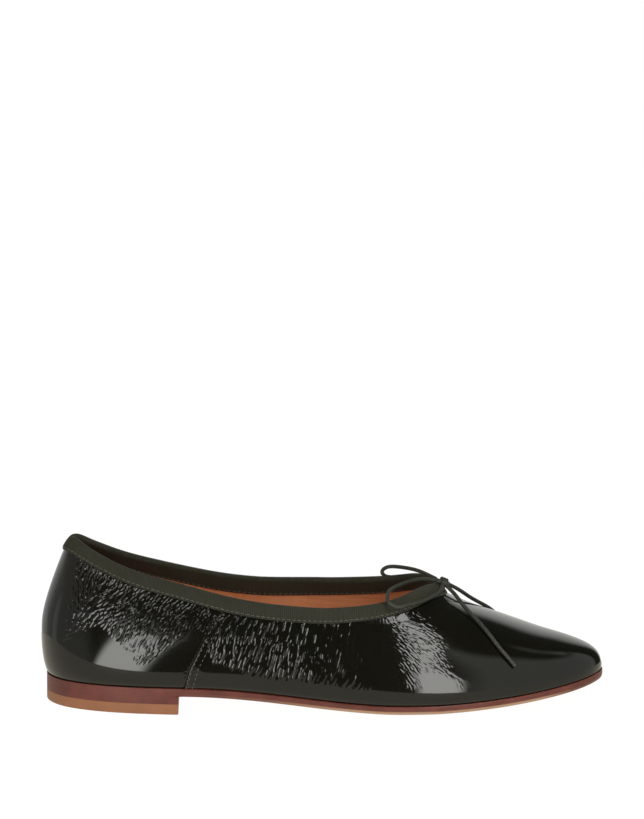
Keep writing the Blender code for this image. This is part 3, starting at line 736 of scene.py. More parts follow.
def tube(name, line, radius, around=14):
    """A round tube along a line, with closed ends and a UV map that measures along and around."""
    tangent = np.gradient(line, axis=0)
    tangent /= np.linalg.norm(tangent, axis=1)[:, None]
    side = np.cross(tangent[0], [0.0, 0.0, 1.0])
    frames = []
    for direction in tangent:
        side = side - direction * (side @ direction)
        side /= np.linalg.norm(side)
        frames.append((side, np.cross(direction, side)))
    turns = np.linspace(0.0, 2 * math.pi, around + 1)
    radius = np.broadcast_to(radius, len(line))
    rings = [
        place + size * (np.outer(np.cos(turns), one) + np.outer(np.sin(turns), two))
        for place, size, (one, two) in zip(line, radius, frames)
    ]
    caps = [np.repeat(line[i][None], around + 1, axis=0) for i in (0, -1)]
    grid = np.array([caps[0], *rings, caps[1]])
    run = np.concatenate([[0.0], lengths(line), [lengths(line)[-1]]])
    uv = np.stack(np.broadcast_arrays(run[:, None], turns * radius.mean()), axis=2)
    ids = np.arange(grid.shape[0] * grid.shape[1]).reshape(grid.shape[:2])
    piece = make_piece(name, grid.reshape(-1, 3), strips(ids), uv.reshape(-1, 2), sharp=50.0)
    piece.data.materials.append(CORD)
    return piece


def wrapped(turns, thickness, reach, tilt):
    """A few tight turns of cord round the middle of the bow, as one line."""
    angle = np.linspace(0.0, 2 * math.pi * turns, 60)
    coil = np.column_stack([
        (angle / angle[-1] - 0.5) * reach,
        np.sin(angle) * thickness,
        np.cos(angle) * thickness,
    ])
    c, s = math.cos(tilt), math.sin(tilt)
    return coil @ np.array([[c, 0, -s], [0, 1, 0], [s, 0, c]]) + KNOT


DRAWN_RADIUS = 0.44 * CORD_DIAMETER  # the soft cord is pulled a little thinner than it was cut
WRAP_RADIUS = 0.00095
CORE_RADIUS = 0.0012
CORE_ROUTE = ((-0.0026, 0, 0.0006), (0, 0, 0.0), (0.0026, 0, -0.0008))  # from the knot's middle

CORDS = {}
for node, route in ROUTES.items():
    line = spline(route, 90)
    CORDS[node] = (tube(node + "_cord", line, DRAWN_RADIUS), line)

coil = wrapped(turns=2.0, thickness=0.00155, reach=0.0022, tilt=0.35)
wraps = tube("bow_knot_wraps", coil, WRAP_RADIUS)
core = tube("bow_knot_core", spline([KNOT + step for step in CORE_ROUTE], 16), CORE_RADIUS)
for piece in (wraps, core):
    finished(piece, "cord_leather", "bow_knot")
for node, (piece, line) in CORDS.items():
    finished(piece, "cord_leather", node)
    print(node, "length", round(lengths(line)[-1] / MM, 1), "mm")

# %% [markdown]
# ## Patent leather
# The upper is cut as a vamp, which goes round the toe, and a quarter, which goes round the heel, and
# they meet in a stitched side seam. Lacquered leather that has been shrunk over the last wrinkles into
# short crinkles that fan out from the heel and run down from the top edge, while heel, toe and the
# strip above the sole stay smooth. We draw the crinkles as a height map of many small waves, each laid
# along the local direction of the crinkles, and raise the mesh by it, because such wrinkles are real
# relief that breaks every highlight.

# %% Where the crinkles lie
MAP_STEP = 0.0002
MAP_SIZE = (0.205, 0.078)  # along the shoe, and up its side as the photograph sees it
# All these tables are in millimetres: along the shoe, then up its side as seen in the photograph
DIRECTIONS = [  # and the direction of the crinkles there, in degrees from the length of the shoe
    (17, 62, 66), (17, 52, 98), (15, 44, 126), (12, 30, 40), (20, 31, 42), (26, 40, 27), (31, 46, 34),
    (34, 54, 56), (42, 51, 44), (48, 44, 45), (52, 36, 40), (44, 31, 48), (36, 24, 56), (50, 22, 50),
    (66, 42, 48), (70, 34, 55), (80, 38, 52), (82, 24, 84), (90, 36, 60), (92, 18, 66), (104, 30, 70),
    (108, 12, 76), (118, 32, 76), (122, 14, 80), (132, 30, 78), (138, 12, 66), (146, 34, 70),
    (156, 38, 128), (160, 26, 140), (164, 16, 146), (170, 36, 128), (174, 22, 150), (182, 8, 156),
]
FOOT_OF_CRINKLES = [  # their lower limit
    (8, 26), (14, 28), (18, 30), (26, 33), (30, 30), (34, 26), (39, 20), (43, 15.5), (49, 17), (53, 21),
    (58, 25), (63, 28), (69, 33), (73, 30), (75, 20), (77, 15.5), (91, 11.5), (105, 8.7), (132, 6.2),
    (143, 3.2), (205, 3.2),
]
BACK_OF_CRINKLES = [(26, 9.5), (37, 11), (50, 14), (62, 16)]  # up, then the least distance along
SMOOTH_PATCHES = [  # middle, half sizes, lean, and the strength that is left there
    (40.0, 21.5, 8.5, 7.5, 1.35, 0.30),
    (163.5, 36.0, 4.5, 4.0, -0.6, 0.30),
    (176.0, 6.0, 9.0, 5.5, -0.9, 0.12),
]
# Up the side, then the vamp's first and last crinkles, and the side's last ones, along the shoe
VAMP_BACK = [(3, 161), (15, 158), (26, 157), (40, 151)]
VAMP_FRONT = [(3, 188), (12, 184), (22, 180), (33, 178), (42, 176)]
SIDE_FRONT = [(3, 146), (20, 144), (34, 141), (45, 141)]


def limit(table, value):
    """Second column of a table at values of its first."""
    return np.interp(value, *zip(*table))


def crinkled(along, up):
    """Strength of the crinkles from 0 to 1. Every limit is soft over a few millimetres."""
    foot, back = limit(FOOT_OF_CRINKLES, along), limit(BACK_OF_CRINKLES, up)
    side = ease(-1.2, 1.2, up - foot) * ease(-1.0, 1.5, along - back)
    side *= 1 - ease(-5.0, 3.0, along - limit(SIDE_FRONT, up))
    stray = 0.30 * ease(30.0, 34.0, up) * (1 - ease(148.0, 154.0, along)) * ease(120.0, 140.0, along)
    past_back, past_front = along - limit(VAMP_BACK, up), along - limit(VAMP_FRONT, up)
    vamp = ease(-3.0, 3.0, past_back) * (1 - ease(-4.0, 3.0, past_front))
    patches = np.sin(1.1 * along + 2 * np.sin(0.7 * up)) * np.sin(1.2 * up + 1.7 * np.sin(0.55 * along))
    vamp = vamp * (0.3 + 0.7 * ease(-0.5, 0.6, patches))
    strength = np.maximum(np.maximum(side, stray), vamp * ease(1.0, 4.0, up))
    for middle_along, middle_up, half_along, half_up, lean, left in SMOOTH_PATCHES:
        shift = along - middle_along - lean * (up - middle_up)
        inside = 1 - ease(0.7, 1.15, np.abs(shift) / half_along)
        inside = inside * (1 - ease(0.8, 1.2, np.abs(up - middle_up) / half_up))
        strength = strength * (1 - (1 - left) * inside)
    return np.clip(strength, 0.0, 1.0)


def direction_of(along, up):
    """Direction of the crinkles at a place, in radians."""
    spots = np.array(DIRECTIONS, float)
    weight = 1 / ((spots[:, 0] - along) ** 2 + (spots[:, 1] - up) ** 2 + 4.0) ** 1.5
    twice = np.radians(2 * spots[:, 2])
    return math.atan2((weight * np.sin(twice)).sum(), (weight * np.cos(twice)).sum()) / 2


WAVES = 17000  # on each side of the shoe
STAMP = 26  # half size of the stamp that one wave fills, in steps of the map
SIDE_START, VAMP_START = 75.0, 150.0  # along: behind the first is the heel's fan
SPREAD = 0.7  # of the finished map's heights


def crinkle_map(seed):
    """Height map of one side of the upper, made of short waves in the local direction."""
    rng = np.random.default_rng(seed)
    columns, rows = (int(size / MAP_STEP) for size in MAP_SIZE)
    height, weight = np.zeros((rows, columns)), np.zeros((rows, columns))
    grid = np.arange(-STAMP, STAMP + 1) * MAP_STEP / MM
    gx, gy = np.meshgrid(grid, grid)
    for _ in range(WAVES):
        row = rng.integers(STAMP, rows - STAMP)
        column = rng.integers(STAMP, columns - STAMP)
        along, up = column * MAP_STEP / MM, row * MAP_STEP / MM
        on_side, on_vamp = SIDE_START < along < VAMP_START, along > VAMP_START
        stray = 8.0 if on_side else 30.0 if on_vamp else 14.0
        angle = direction_of(along, up) + math.radians(rng.normal(0.0, stray))
        wave = rng.uniform(1.5, 2.3) if on_side else rng.uniform(1.2, 2.0)
        length = rng.uniform(1.6, 3.4) if on_side else rng.uniform(1.0, 2.4)
        if on_vamp:
            wave, length = rng.uniform(0.9, 1.7), rng.uniform(0.7, 1.6)
        run = gx * math.cos(angle) + gy * math.sin(angle)
        cross = -gx * math.sin(angle) + gy * math.cos(angle)
        bell = np.exp(-((run / length) ** 2) - (cross / (0.42 * wave)) ** 2)
        phase = rng.uniform(0, 2 * math.pi)
        spot = (slice(row - STAMP, row + STAMP + 1), slice(column - STAMP, column + STAMP + 1))
        height[spot] += bell * np.cos(2 * math.pi * cross / wave + phase)
        weight[spot] += bell**2
    table = height / np.sqrt(weight + 0.15)
    return table * (SPREAD / table.std())


def read_map(table, along, up):
    """Value of a height map at places in metres."""
    i = np.clip(up / MAP_STEP, 0, table.shape[0] - 1.001)
    j = np.clip(along / MAP_STEP, 0, table.shape[1] - 1.001)
    r, c = i.astype(int), j.astype(int)
    u, v = i - r, j - c
    low = table[r, c] * (1 - v) + table[r, c + 1] * v
    high = table[r + 1, c] * (1 - v) + table[r + 1, c + 1] * v
    return low * (1 - u) + high * u


CRINKLES = {side: crinkle_map(7 + side) for side in SIDES}
print("crinkle maps", CRINKLES[1].shape, "spread", round(CRINKLES[1].std(), 2))

# %% Relief of the hide
# Lengths in these tables are in millimetres, as the photograph sees the side
SEAM = [  # share of the way up, and how far along the side seam is there
    (0.0, 63.5), (0.17, 66.2), (0.29, 69.4), (0.43, 72.9),
    (0.6, 76.5), (0.74, 78.3), (0.91, 80.4), (1.0, 81.3),
]
CRINKLE_DEPTHS = [  # along, depth
    (14, 0.28), (28, 0.22), (60, 0.18), (80, 0.17), (110, 0.19), (145, 0.17), (155, 0.17),
]
PUCKER_HEIGHT = 0.00007
PUCKER_PITCH, PUCKER_REACH = 1.75, 1.3  # up the seam, and to each side of it
RIDGE_SHARE = 0.8  # of the heights in the two tables below
RIDGES = [  # long wrinkles: start, end, height and half width
    ((107, 8), (110, 16), 0.20, 0.45), ((110, 8), (111, 13), 0.18, 0.40),
    ((113, 7), (113, 11.5), 0.18, 0.40), ((115, 7), (115, 12), 0.18, 0.40),
    ((117, 8), (116, 12), 0.16, 0.40), ((119, 7), (120, 11.5), 0.18, 0.40),
    ((97, 11.5), (99, 16), 0.18, 0.45), ((95, 12), (96, 16), 0.16, 0.40),
    ((92, 11), (95, 17), 0.18, 0.45), ((86, 18), (87, 24), 0.18, 0.45),
    ((82, 18), (82, 23), 0.18, 0.45), ((80, 18), (80, 24), 0.16, 0.45),
    ((86, 33), (89, 36), 0.20, 0.50), ((84, 29), (90, 34), 0.18, 0.50),
    ((90, 25), (93, 33), 0.18, 0.50), ((103, 9), (106, 14), 0.16, 0.40),
    ((117, 29), (118, 34), 0.16, 0.40), ((113, 28), (115, 32), 0.16, 0.40),
    ((10, 26), (18, 33), 0.16, 0.40), ((17, 28), (20, 34), 0.14, 0.40),
    ((11, 32), (25, 41), 0.14, 0.40), ((21, 38), (28, 44), 0.16, 0.45),
    ((24, 44), (33, 48), 0.16, 0.45), ((32, 43), (37, 48), 0.16, 0.45),
    ((28, 47), (37, 51), 0.14, 0.40), ((34, 36), (49, 43), 0.12, 0.45),
    ((126, 8), (128, 17), 0.18, 0.45), ((131, 7), (134, 16), 0.16, 0.45),
    ((137, 6), (141, 13), 0.14, 0.45), ((123, 10), (124, 20), 0.16, 0.45),
]
CREASES = [  # soft troughs of the vamp, in the same way
    ((181.5, 29), (192, 25), 0.05, 0.9), ((184, 26), (200, 21), 0.06, 0.9),
    ((187, 28), (203, 22), 0.05, 1.1), ((180, 33), (190, 30), 0.04, 0.8),
    ((178, 40), (188, 35), 0.05, 1.0), ((176, 43), (184, 41), 0.05, 0.8),
]


def along_line(along, up, start, stop):
    """Share of the way along a line, and the distance from it."""
    (x0, h0), (x1, h1) = start, stop
    dx, dh = x1 - x0, h1 - h0
    share = np.clip(((along - x0) * dx + (up - h0) * dh) / (dx * dx + dh * dh), 0.0, 1.0)
    return share, np.hypot(along - x0 - share * dx, up - h0 - share * dh)


def relief(turn, height):
    """How far the leather stands out of the smooth last, and the strength of its crinkles."""
    place = sampled(SKIN, turn, height) + MIDDLE
    along = place[..., 0]
    up = place[..., 2] - np.abs(place[..., 1]) * math.tan(ELEVATION)
    strength = crinkled(along / MM, up / MM)
    waves = np.where(turn <= 1, read_map(CRINKLES[-1], along, up), read_map(CRINKLES[1], along, up))
    # The leather folds up into ridges and hardly down between them
    ridged = np.maximum(waves, 0.0) ** 1.15 - 0.4 * np.maximum(-waves, 0.0)
    out = limit(CRINKLE_DEPTHS, along / MM) * MM * strength * ridged
    from_seam = along / MM - limit(SEAM, height)
    pucker = np.cos(2 * math.pi * up / MM / PUCKER_PITCH) * np.exp(-((from_seam / PUCKER_REACH) ** 2))
    out += PUCKER_HEIGHT * pucker
    for table, sign in ((RIDGES, 1), (CREASES, -1)):
        for start, stop, depth, width in table:
            share, away = along_line(along / MM, up / MM, start, stop)
            bell = np.exp(-((away / width) ** 2)) * np.sin(math.pi * np.clip(share, 0.03, 0.97)) ** 0.5
            out += sign * depth * MM * RIDGE_SHARE * bell
    return out * ease(1.0, 0.93, height), strength


# %% Cut the vamp and the quarter
SMOOTH_FROM = 0.200  # from here to the toe the leather needs fewer columns
TOE_NEED, INNER_NEED = 0.3, 0.6  # density of the columns there and on the inner side, outer side 1
HIDE = 0.0010
INNER_ROWS = 6  # the smooth inside needs few rows
EDGE_ROLL = 0.00045  # how far both pieces give way at the seam
EDGE_PROUD = 0.00030  # how far the vamp's folded edge stands out
EDGE_SKIVED = 0.00062  # how much thinner the vamp is where it overlaps


def seam_turn(height, inner):
    """Turn of the side seam at each height, on the outer or the inner side."""
    wanted = np.interp(height, *zip(*SEAM)) * MM - MIDDLE[0]
    side = SKIN[:STATIONS] if not inner else SKIN[STATIONS - 1 :][::-1]
    behind_ball = STATIONS * 2 // 3
    turns = np.linspace(0, 2 / 3, behind_ball)
    found = [
        np.interp(x, side[:behind_ball, int(h * (LEVELS - 1)), 0], turns) for x, h in zip(wanted, height)
    ]
    return 2 - np.array(found) if inner else np.array(found)


def pattern(start, stop, columns, rows, over):
    """Turns and heights of a piece that runs between the two side seams. start and stop say whether
    each end is at the inner seam, and over is how far past the seam it reaches."""
    heights = np.linspace(0.0, 1.0, rows)
    one, two = seam_turn(heights, start), seam_turn(heights, stop)
    if start:
        one = one - 2.0
    first, last = one.mean(), two.mean()
    fine = np.linspace(0.0, 1.0, 2000)
    fine_turns = first + (last - first) * fine
    along = sampled(SKIN, fine_turns % 2, np.full(2000, 0.5))[:, 0] + MIDDLE[0]
    need = np.where(along > SMOOTH_FROM, TOE_NEED, np.where(fine_turns % 2 > 1, INNER_NEED, 1.0))
    shares = np.interp(np.linspace(0.0, 1.0, columns), np.cumsum(need) / need.sum(), fine)
    shares[[0, -1]] = 0.0, 1.0
    turns = (first + (last - first) * shares)[:, None]
    near_first = 1 - ease(0.0, 0.35, shares)[:, None]
    near_last = ease(0.65, 1.0, shares)[:, None]
    turns = turns + (one - first) * near_first + (two - last) * near_last
    turns = turns + over * ((shares[:, None] * 2 - 1) ** 15)
    return turns, np.broadcast_to(heights, turns.shape)


def hide_piece(name, start, stop, columns, rows, over, lift):
    """A leather piece of the upper: crinkled outside, smooth inside, with real thickness. lift gives
    the outside and the inside at distances from its edge in millimetres."""
    turns, heights = pattern(start, stop, columns, rows, over)
    wrapped_turns = turns % 2
    place = sampled(SKIN, wrapped_turns, heights)
    normal = outward(wrapped_turns, heights)
    out, strength = relief(wrapped_turns, heights)
    from_edge = np.minimum(np.arange(columns), np.arange(columns)[::-1])[:, None] * np.ones(rows)
    step = np.linalg.norm(np.diff(place, axis=0), axis=2).mean()
    edge, inside = lift(from_edge * step / MM)
    outer = place + normal * (out + edge)[..., None]
    few = np.linspace(0, rows - 1, INNER_ROWS).astype(int)
    inner = (place + normal * inside[..., None])[:, few]
    run = np.broadcast_to(lengths(place[:, rows // 2])[:, None], heights.shape)
    uv = np.stack([run, sampled(SKIN_UP, wrapped_turns, heights)], axis=2)
    outer_ids = np.arange(columns * rows).reshape(columns, rows)
    inner_ids = outer_ids.size + np.arange(columns * INNER_ROWS).reshape(columns, INNER_ROWS)
    faces = strips(outer_ids) + strips(inner_ids)
    for end in (0, -1):
        faces += strips(np.column_stack([outer_ids[:, end], inner_ids[:, end]]))
        faces += bridge(outer_ids[end], inner_ids[end])
    points = np.concatenate([outer.reshape(-1, 3), inner.reshape(-1, 3)])
    all_uv = np.concatenate([uv.reshape(-1, 2), uv[:, few].reshape(-1, 2)])
    marks = {"crinkled": np.concatenate([strength.ravel(), np.zeros(inner_ids.size)])}
    piece = make_piece(name, points, faces, all_uv, marks, sharp=70.0)
    piece.data.materials.append(PATENT)
    print(name, len(piece.data.polygons), "faces")
    return piece


def under_edge(distance):
    """The quarter dips under the vamp's edge."""
    dip = -EDGE_ROLL * (1 - ease(1.6, 2.6, distance))
    return dip, np.full_like(distance, -HIDE)


def over_edge(distance):
    """The vamp's folded edge stands a little proud and rolls down onto the quarter."""
    roll = EDGE_PROUD * np.exp(-((distance / 5.0) ** 2)) - EDGE_ROLL * np.exp(-((distance / 0.35) ** 2))
    return roll, -HIDE + EDGE_SKIVED * (1 - ease(2.4, 3.4, distance))


vamp = hide_piece("vamp_patent", False, True, columns=880, rows=104, over=0.0, lift=over_edge)
quarter = hide_piece("quarter_patent", True, False, columns=540, rows=120, over=0.008, lift=under_edge)
for piece in (vamp, quarter):
    finished(piece, "patent_leather", "upper")

# %% [markdown]
# ## Lining
# Inside, the upper is lined with soft tan leather. It lies against the hide with a few shallow
# wrinkles, and its lower edge goes under the sock.

# %% Lining
LINING_GAP = 0.00004


def lining():
    """A closed ring of lining leather inside the hide."""
    columns, rows = 360, 40
    turns = np.linspace(0.0, 2.0, columns, endpoint=False)[:, None] * np.ones(rows)
    heights = np.linspace(0.0, 0.995, rows) * np.ones((columns, 1))
    place, normal = sampled(SKIN, turns, heights), outward(turns, heights)
    up, along = sampled(SKIN_UP, turns, heights), place[..., 0] + MIDDLE[0]
    wrinkle = 0.00010 * np.sin(along / 0.0031 + 9 * np.sin(up / 0.009)) * ease(0.0, 0.01, up)
    wrinkle = wrinkle * (0.5 + 0.5 * np.sin(along / 0.017))
    inner = place + normal * (-WALL + wrinkle)[..., None]
    outer = place + normal * (-HIDE - LINING_GAP)
    ids = np.arange(columns * rows).reshape(columns, rows)
    faces = strips(ids.T, closed=True) + strips(ids.T + ids.size, closed=True)
    for end in (0, -1):
        faces += strips(np.array([ids[:, end], ids[:, end] + ids.size]), closed=True)
    uv = np.stack([along, up], axis=2).reshape(-1, 2)
    points = np.concatenate([inner.reshape(-1, 3), outer.reshape(-1, 3)])
    piece = make_piece("lining", points, faces, np.concatenate([uv, uv]), sharp=60.0)
    piece.data.materials.append(LINING)
    return finished(piece, "lining_leather", "upper")


lining()

# %% [markdown]
# ## Ribbon binding
# A grosgrain ribbon is folded over the whole top edge and hides the drawstring. Grosgrain has fine
# ribs across its width. A Geometry Nodes tree raises them: it reads how far round the collar each
# point lies and lifts the surface in even waves.

# %% Ribbed ribbon
RIB_PITCH = 0.00085
RIBS, ribs_in, ribs_out = new_group(
    "grosgrain_ribs",
    "GeometryNodeTree",
    [
        ("Geometry", "Geometry", None),
        ("Rib Pitch", "Float", RIB_PITCH),
        ("Rib Height", "Float", 0.00010),
        ("Material", "Material", None),
    ],
    [("Geometry", "Geometry")],
)
run = add_node(RIBS, "GeometryNodeInputNamedAttribute", {"Name": "run"}, data_type="FLOAT")
shown = add_node(RIBS, "GeometryNodeInputNamedAttribute", {"Name": "shown"}, data_type="FLOAT")
circled = math_node(RIBS, "MULTIPLY", run, 2 * math.pi)
turned = math_node(RIBS, "DIVIDE", circled, ribs_in.outputs["Rib Pitch"])
wave = math_node(RIBS, "MULTIPLY", math_node(RIBS, "COSINE", turned), ribs_in.outputs["Rib Height"])
lifted = add_node(
    RIBS,
    "ShaderNodeVectorMath",
    {0: add_node(RIBS, "GeometryNodeInputNormal"), 3: math_node(RIBS, "MULTIPLY", wave, shown)},
    operation="SCALE",
)
raised = add_node(
    RIBS,
    "GeometryNodeSetPosition",
    {"Geometry": ribs_in.outputs["Geometry"], "Offset": lifted},
)
solid = add_node(RIBS, "GeometryNodeRealizeInstances", {"Geometry": raised})
covered = add_node(
    RIBS,
    "GeometryNodeSetMaterial",
    {"Geometry": solid, "Material": ribs_in.outputs["Material"]},
)
RIBS.links.new(covered.outputs[0], ribs_out.inputs["Geometry"])


def collar_rings(depths, count):
    """Places, outward and upward directions at distances below the top edge, round the collar."""
    turns = np.linspace(0.0, 2.0, count, endpoint=False)
    top = sampled(SKIN_UP, turns, np.ones(count))
    rings = []
    for depth in depths:
        heights = 1 - depth / top
        here = sampled(SKIN, turns, heights)
        up = sampled(SKIN, turns, np.minimum(heights + 0.004, 1)) - sampled(SKIN, turns, heights - 0.004)
        up /= np.linalg.norm(up, axis=1)[:, None]
        around = np.roll(here, -1, axis=0) - np.roll(here, 1, axis=0)
        out = np.cross(around, up)
        rings.append((here, out / np.linalg.norm(out, axis=1)[:, None], up))
    return rings


PAINTED_GROOVE_SHADE, PAINTED_RIB_LIGHT = 0.55, 1.12  # painted shade darkens the colour between the ribs, painted light brightens their tops
# The ribbon's colour is scaled by a wave in step with the raised ribs: painted shade in the grooves and
# painted light on the ribs.
rib_tree = RIBBON.node_tree
rib_run = add_node(rib_tree, "ShaderNodeAttribute", attribute_name="run")
rib_turn = math_node(rib_tree, "MULTIPLY", rib_run.outputs["Fac"], 2 * math.pi / RIB_PITCH)
rib_wave = math_node(rib_tree, "COSINE", rib_turn)
painted_rib_shading = add_node(
    rib_tree,
    "ShaderNodeMapRange",
    {0: rib_wave, 1: -1.0, 2: 0.6, 3: PAINTED_GROOVE_SHADE, 4: PAINTED_RIB_LIGHT},
)
recoloured(rib_tree, "ShaderNodeVectorMath", 0, {3: painted_rib_shading.outputs[0]}, 0, operation="SCALE")

edge_line = collar_rings([0.0], 2400)[0][0]
COLLAR_LENGTH = lengths(np.vstack([edge_line, edge_line[:1]]))[-1]
RIB_COUNT = int(round(COLLAR_LENGTH / RIB_PITCH))
print("collar", round(COLLAR_LENGTH / MM), "mm round,", RIB_COUNT, "ribs")


def ribbon():
    """The folded ribbon as a channel, one row of points for each place in its section."""
    columns = 4 * RIB_COUNT
    legs = {
        "outer": collar_rings(RIBBON_WIDTH * np.linspace(1.0, 0.0, 7), columns),
        "inner": collar_rings(RIBBON_INNER * np.linspace(1.0, 0.0, 7), columns),
    }
    outer = FIT_GAP + RIBBON_THICKNESS
    edge, out, up = legs["outer"][-1]
    middle = edge - out * (WALL / 2)

    def leg(which, offset, soften=0.0):
        offsets = [offset - soften] + [offset] * (len(legs[which]) - 1)
        return [place + normal * away for (place, normal, _), away in zip(legs[which], offsets)]

    def over(turn):
        height = (FOLD_ROOM + RIBBON_THICKNESS) * math.sin(turn)
        return middle + (WALL / 2 + outer) * math.cos(turn) * out + height * up

    outside = leg("outer", outer, 0.0002)
    outside += [over(math.radians(turn)) for turn in (20, 40, 60, 80, 100, 120, 140, 160)]
    outside += leg("inner", -WALL - outer, -0.0002)[::-1]
    roof = [middle + side * (WALL / 2) * out + FOLD_ROOM * up for side in (-1, 1)]
    inside = leg("inner", -WALL - FIT_GAP)[::3] + roof + leg("outer", FIT_GAP)[::-3]
    section = np.array(outside + inside)
    section = np.concatenate([section, section[:, :1]], axis=1)
    rows, around = section.shape[:2]
    closed = np.vstack([np.arange(rows * around).reshape(rows, around), np.arange(around)])
    run_mark = np.broadcast_to(np.linspace(0.0, RIB_COUNT * RIB_PITCH, around), (rows, around))
    steps = lengths(section[:, 0])
    uv = np.stack([run_mark, np.broadcast_to(steps[:, None], run_mark.shape)], axis=2)
    shown_mark = np.zeros((rows, around))
    shown_mark[: len(outside)] = 1.0
    marks = {"run": run_mark.ravel(), "shown": shown_mark.ravel()}
    points = section.reshape(-1, 3)
    return make_piece("ribbon_blank", points, strips(closed), uv.reshape(-1, 2), marks, sharp=60.0)


binding = grown(ribbon(), RIBS, "collar_ribbon", {"Material": RIBBON})
finished(binding, "grosgrain_ribbon", "collar_binding")
print("ribbon", len(binding.data.polygons), "faces")

# %% [markdown]
# ## Stitches
# One row of stitches holds the ribbon on both faces of the collar, and two rows close each side seam.
# A second tree lays a small plump thread stitch at even steps along any line.

# %% Stitch tree
STITCHES, stitch_in, stitch_out = new_group(
    "stitch_row",
    "GeometryNodeTree",
    [
        ("Geometry", "Geometry", None),
        ("Pitch", "Float", 0.0023),
        ("Length", "Float", 0.0017),
        ("Thread", "Float", 0.0004),
        ("Seed", "Int", 3),
        ("Material", "Material", None),
    ],
    [("Geometry", "Geometry")],
)
steps = add_node(
    STITCHES,
    "GeometryNodeResampleCurve",
    {"Curve": stitch_in.outputs["Geometry"], "Length": stitch_in.outputs["Pitch"]},
    mode="LENGTH",
)
bead = add_node(STITCHES, "GeometryNodeMeshUVSphere", {"Segments": 8, "Rings": 6, "Radius": 0.5})
sized = add_node(
    STITCHES,
    "GeometryNodeTransform",
    {
        "Geometry": bead.outputs["Mesh"],
        "Scale": add_node(
            STITCHES,
            "ShaderNodeCombineXYZ",
            {
                0: stitch_in.outputs["Length"],
                1: stitch_in.outputs["Thread"],
                2: stitch_in.outputs["Thread"],
            },
        ),
    },
)
aligned = add_node(
    STITCHES,
    "FunctionNodeAlignRotationToVector",
    {"Vector": add_node(STITCHES, "GeometryNodeInputTangent")},
    axis="X",
)
uneven = add_node(
    STITCHES,
    "FunctionNodeRandomValue",
    {2: 0.9, 3: 1.08, "Seed": stitch_in.outputs["Seed"]},
    data_type="FLOAT",
)
laid = add_node(
    STITCHES,
    "GeometryNodeInstanceOnPoints",
    {"Points": steps, "Instance": sized, "Rotation": aligned, "Scale": uneven.outputs[1]},
)
sewn = add_node(STITCHES, "GeometryNodeRealizeInstances", {"Geometry": laid})
smooth = add_node(STITCHES, "GeometryNodeSetShadeSmooth", {"Geometry": sewn})
threaded = add_node(
    STITCHES,
    "GeometryNodeSetMaterial",
    {"Geometry": smooth, "Material": stitch_in.outputs["Material"]},
)
STITCHES.links.new(threaded.outputs[0], stitch_out.inputs["Geometry"])


def stitch_row(name, points, values):
    """A row of stitches along a line of points."""
    data = bpy.data.curves.new(name, "CURVE")
    data.dimensions = "3D"
    strand = data.splines.new("POLY")
    strand.points.add(len(points) - 1)
    for point, place in zip(strand.points, points):
        point.co = (*place, 1.0)
    line = bpy.data.objects.new(name + "_line", data)
    bpy.context.scene.collection.objects.link(line)
    return grown(line, STITCHES, name, {"Material": THREAD, **values})


# %% Sew the ribbon and the side seams
STITCH_MARGIN = 0.0009  # from each leg's lower edge
RIBBON_FACE = FIT_GAP + RIBBON_THICKNESS + 0.00003  # where the thread's middle lies
SEAM_ROWS = ((0.0009, 0.00020), (0.0036, 0.00026))  # from the seam, and out of the skin
PROBE = 0.01  # a small turn, to measure how long a turn is there
outer_ring, inner_ring = (
    collar_rings([width - STITCH_MARGIN], 1200)[0] for width in (RIBBON_WIDTH, RIBBON_INNER)
)
outer_row = outer_ring[0] + outer_ring[1] * RIBBON_FACE
inner_row = inner_ring[0] - inner_ring[1] * (WALL + RIBBON_FACE)
for name, line in (("ribbon_stitches_outside", outer_row), ("ribbon_stitches_inside", inner_row)):
    finished(stitch_row(name, line, {}), "grosgrain_ribbon")

for inner in (False, True):
    for number, (distance, raise_by) in enumerate(SEAM_ROWS):
        heights = np.linspace(0.02, 0.88, 120)
        base = seam_turn(heights, inner)
        place = sampled(SKIN, base % 2, heights)
        towards = -1 if inner else 1
        probe = sampled(SKIN, (base + towards * PROBE) % 2, heights)
        per_turn = np.linalg.norm(probe - place, axis=1) / PROBE
        turns = base + towards * distance / per_turn
        row = sampled(SKIN, turns % 2, heights) + outward(turns % 2, heights) * raise_by
        name = f"seam_stitches_{'inner' if inner else 'outer'}_{number + 1}"
        finished(stitch_row(name, row, {"Length": 0.0016, "Thread": 0.00035}), "patent_leather")

# %% [markdown]
# ## Sock and sole
# The sock is a thin sheet of tan leather with a soft edge. The outsole is a flat leather sole whose
# cut edge is stained red-brown and whose underside is left natural. The low heel is a stained lift
# on a natural top piece.


# %% Layers of the sole
# Along the shoe in millimetres, and how far the edge's rounded lower part is without stain
BARE_EDGE = [(60, 0.0), (100, 0.2), (135, 1.0), (222, 1.0), (236, 0.1), (251, 0.1)]
EDGE_FADE = 0.004  # over which the outsole's edge changes behind the heel's front


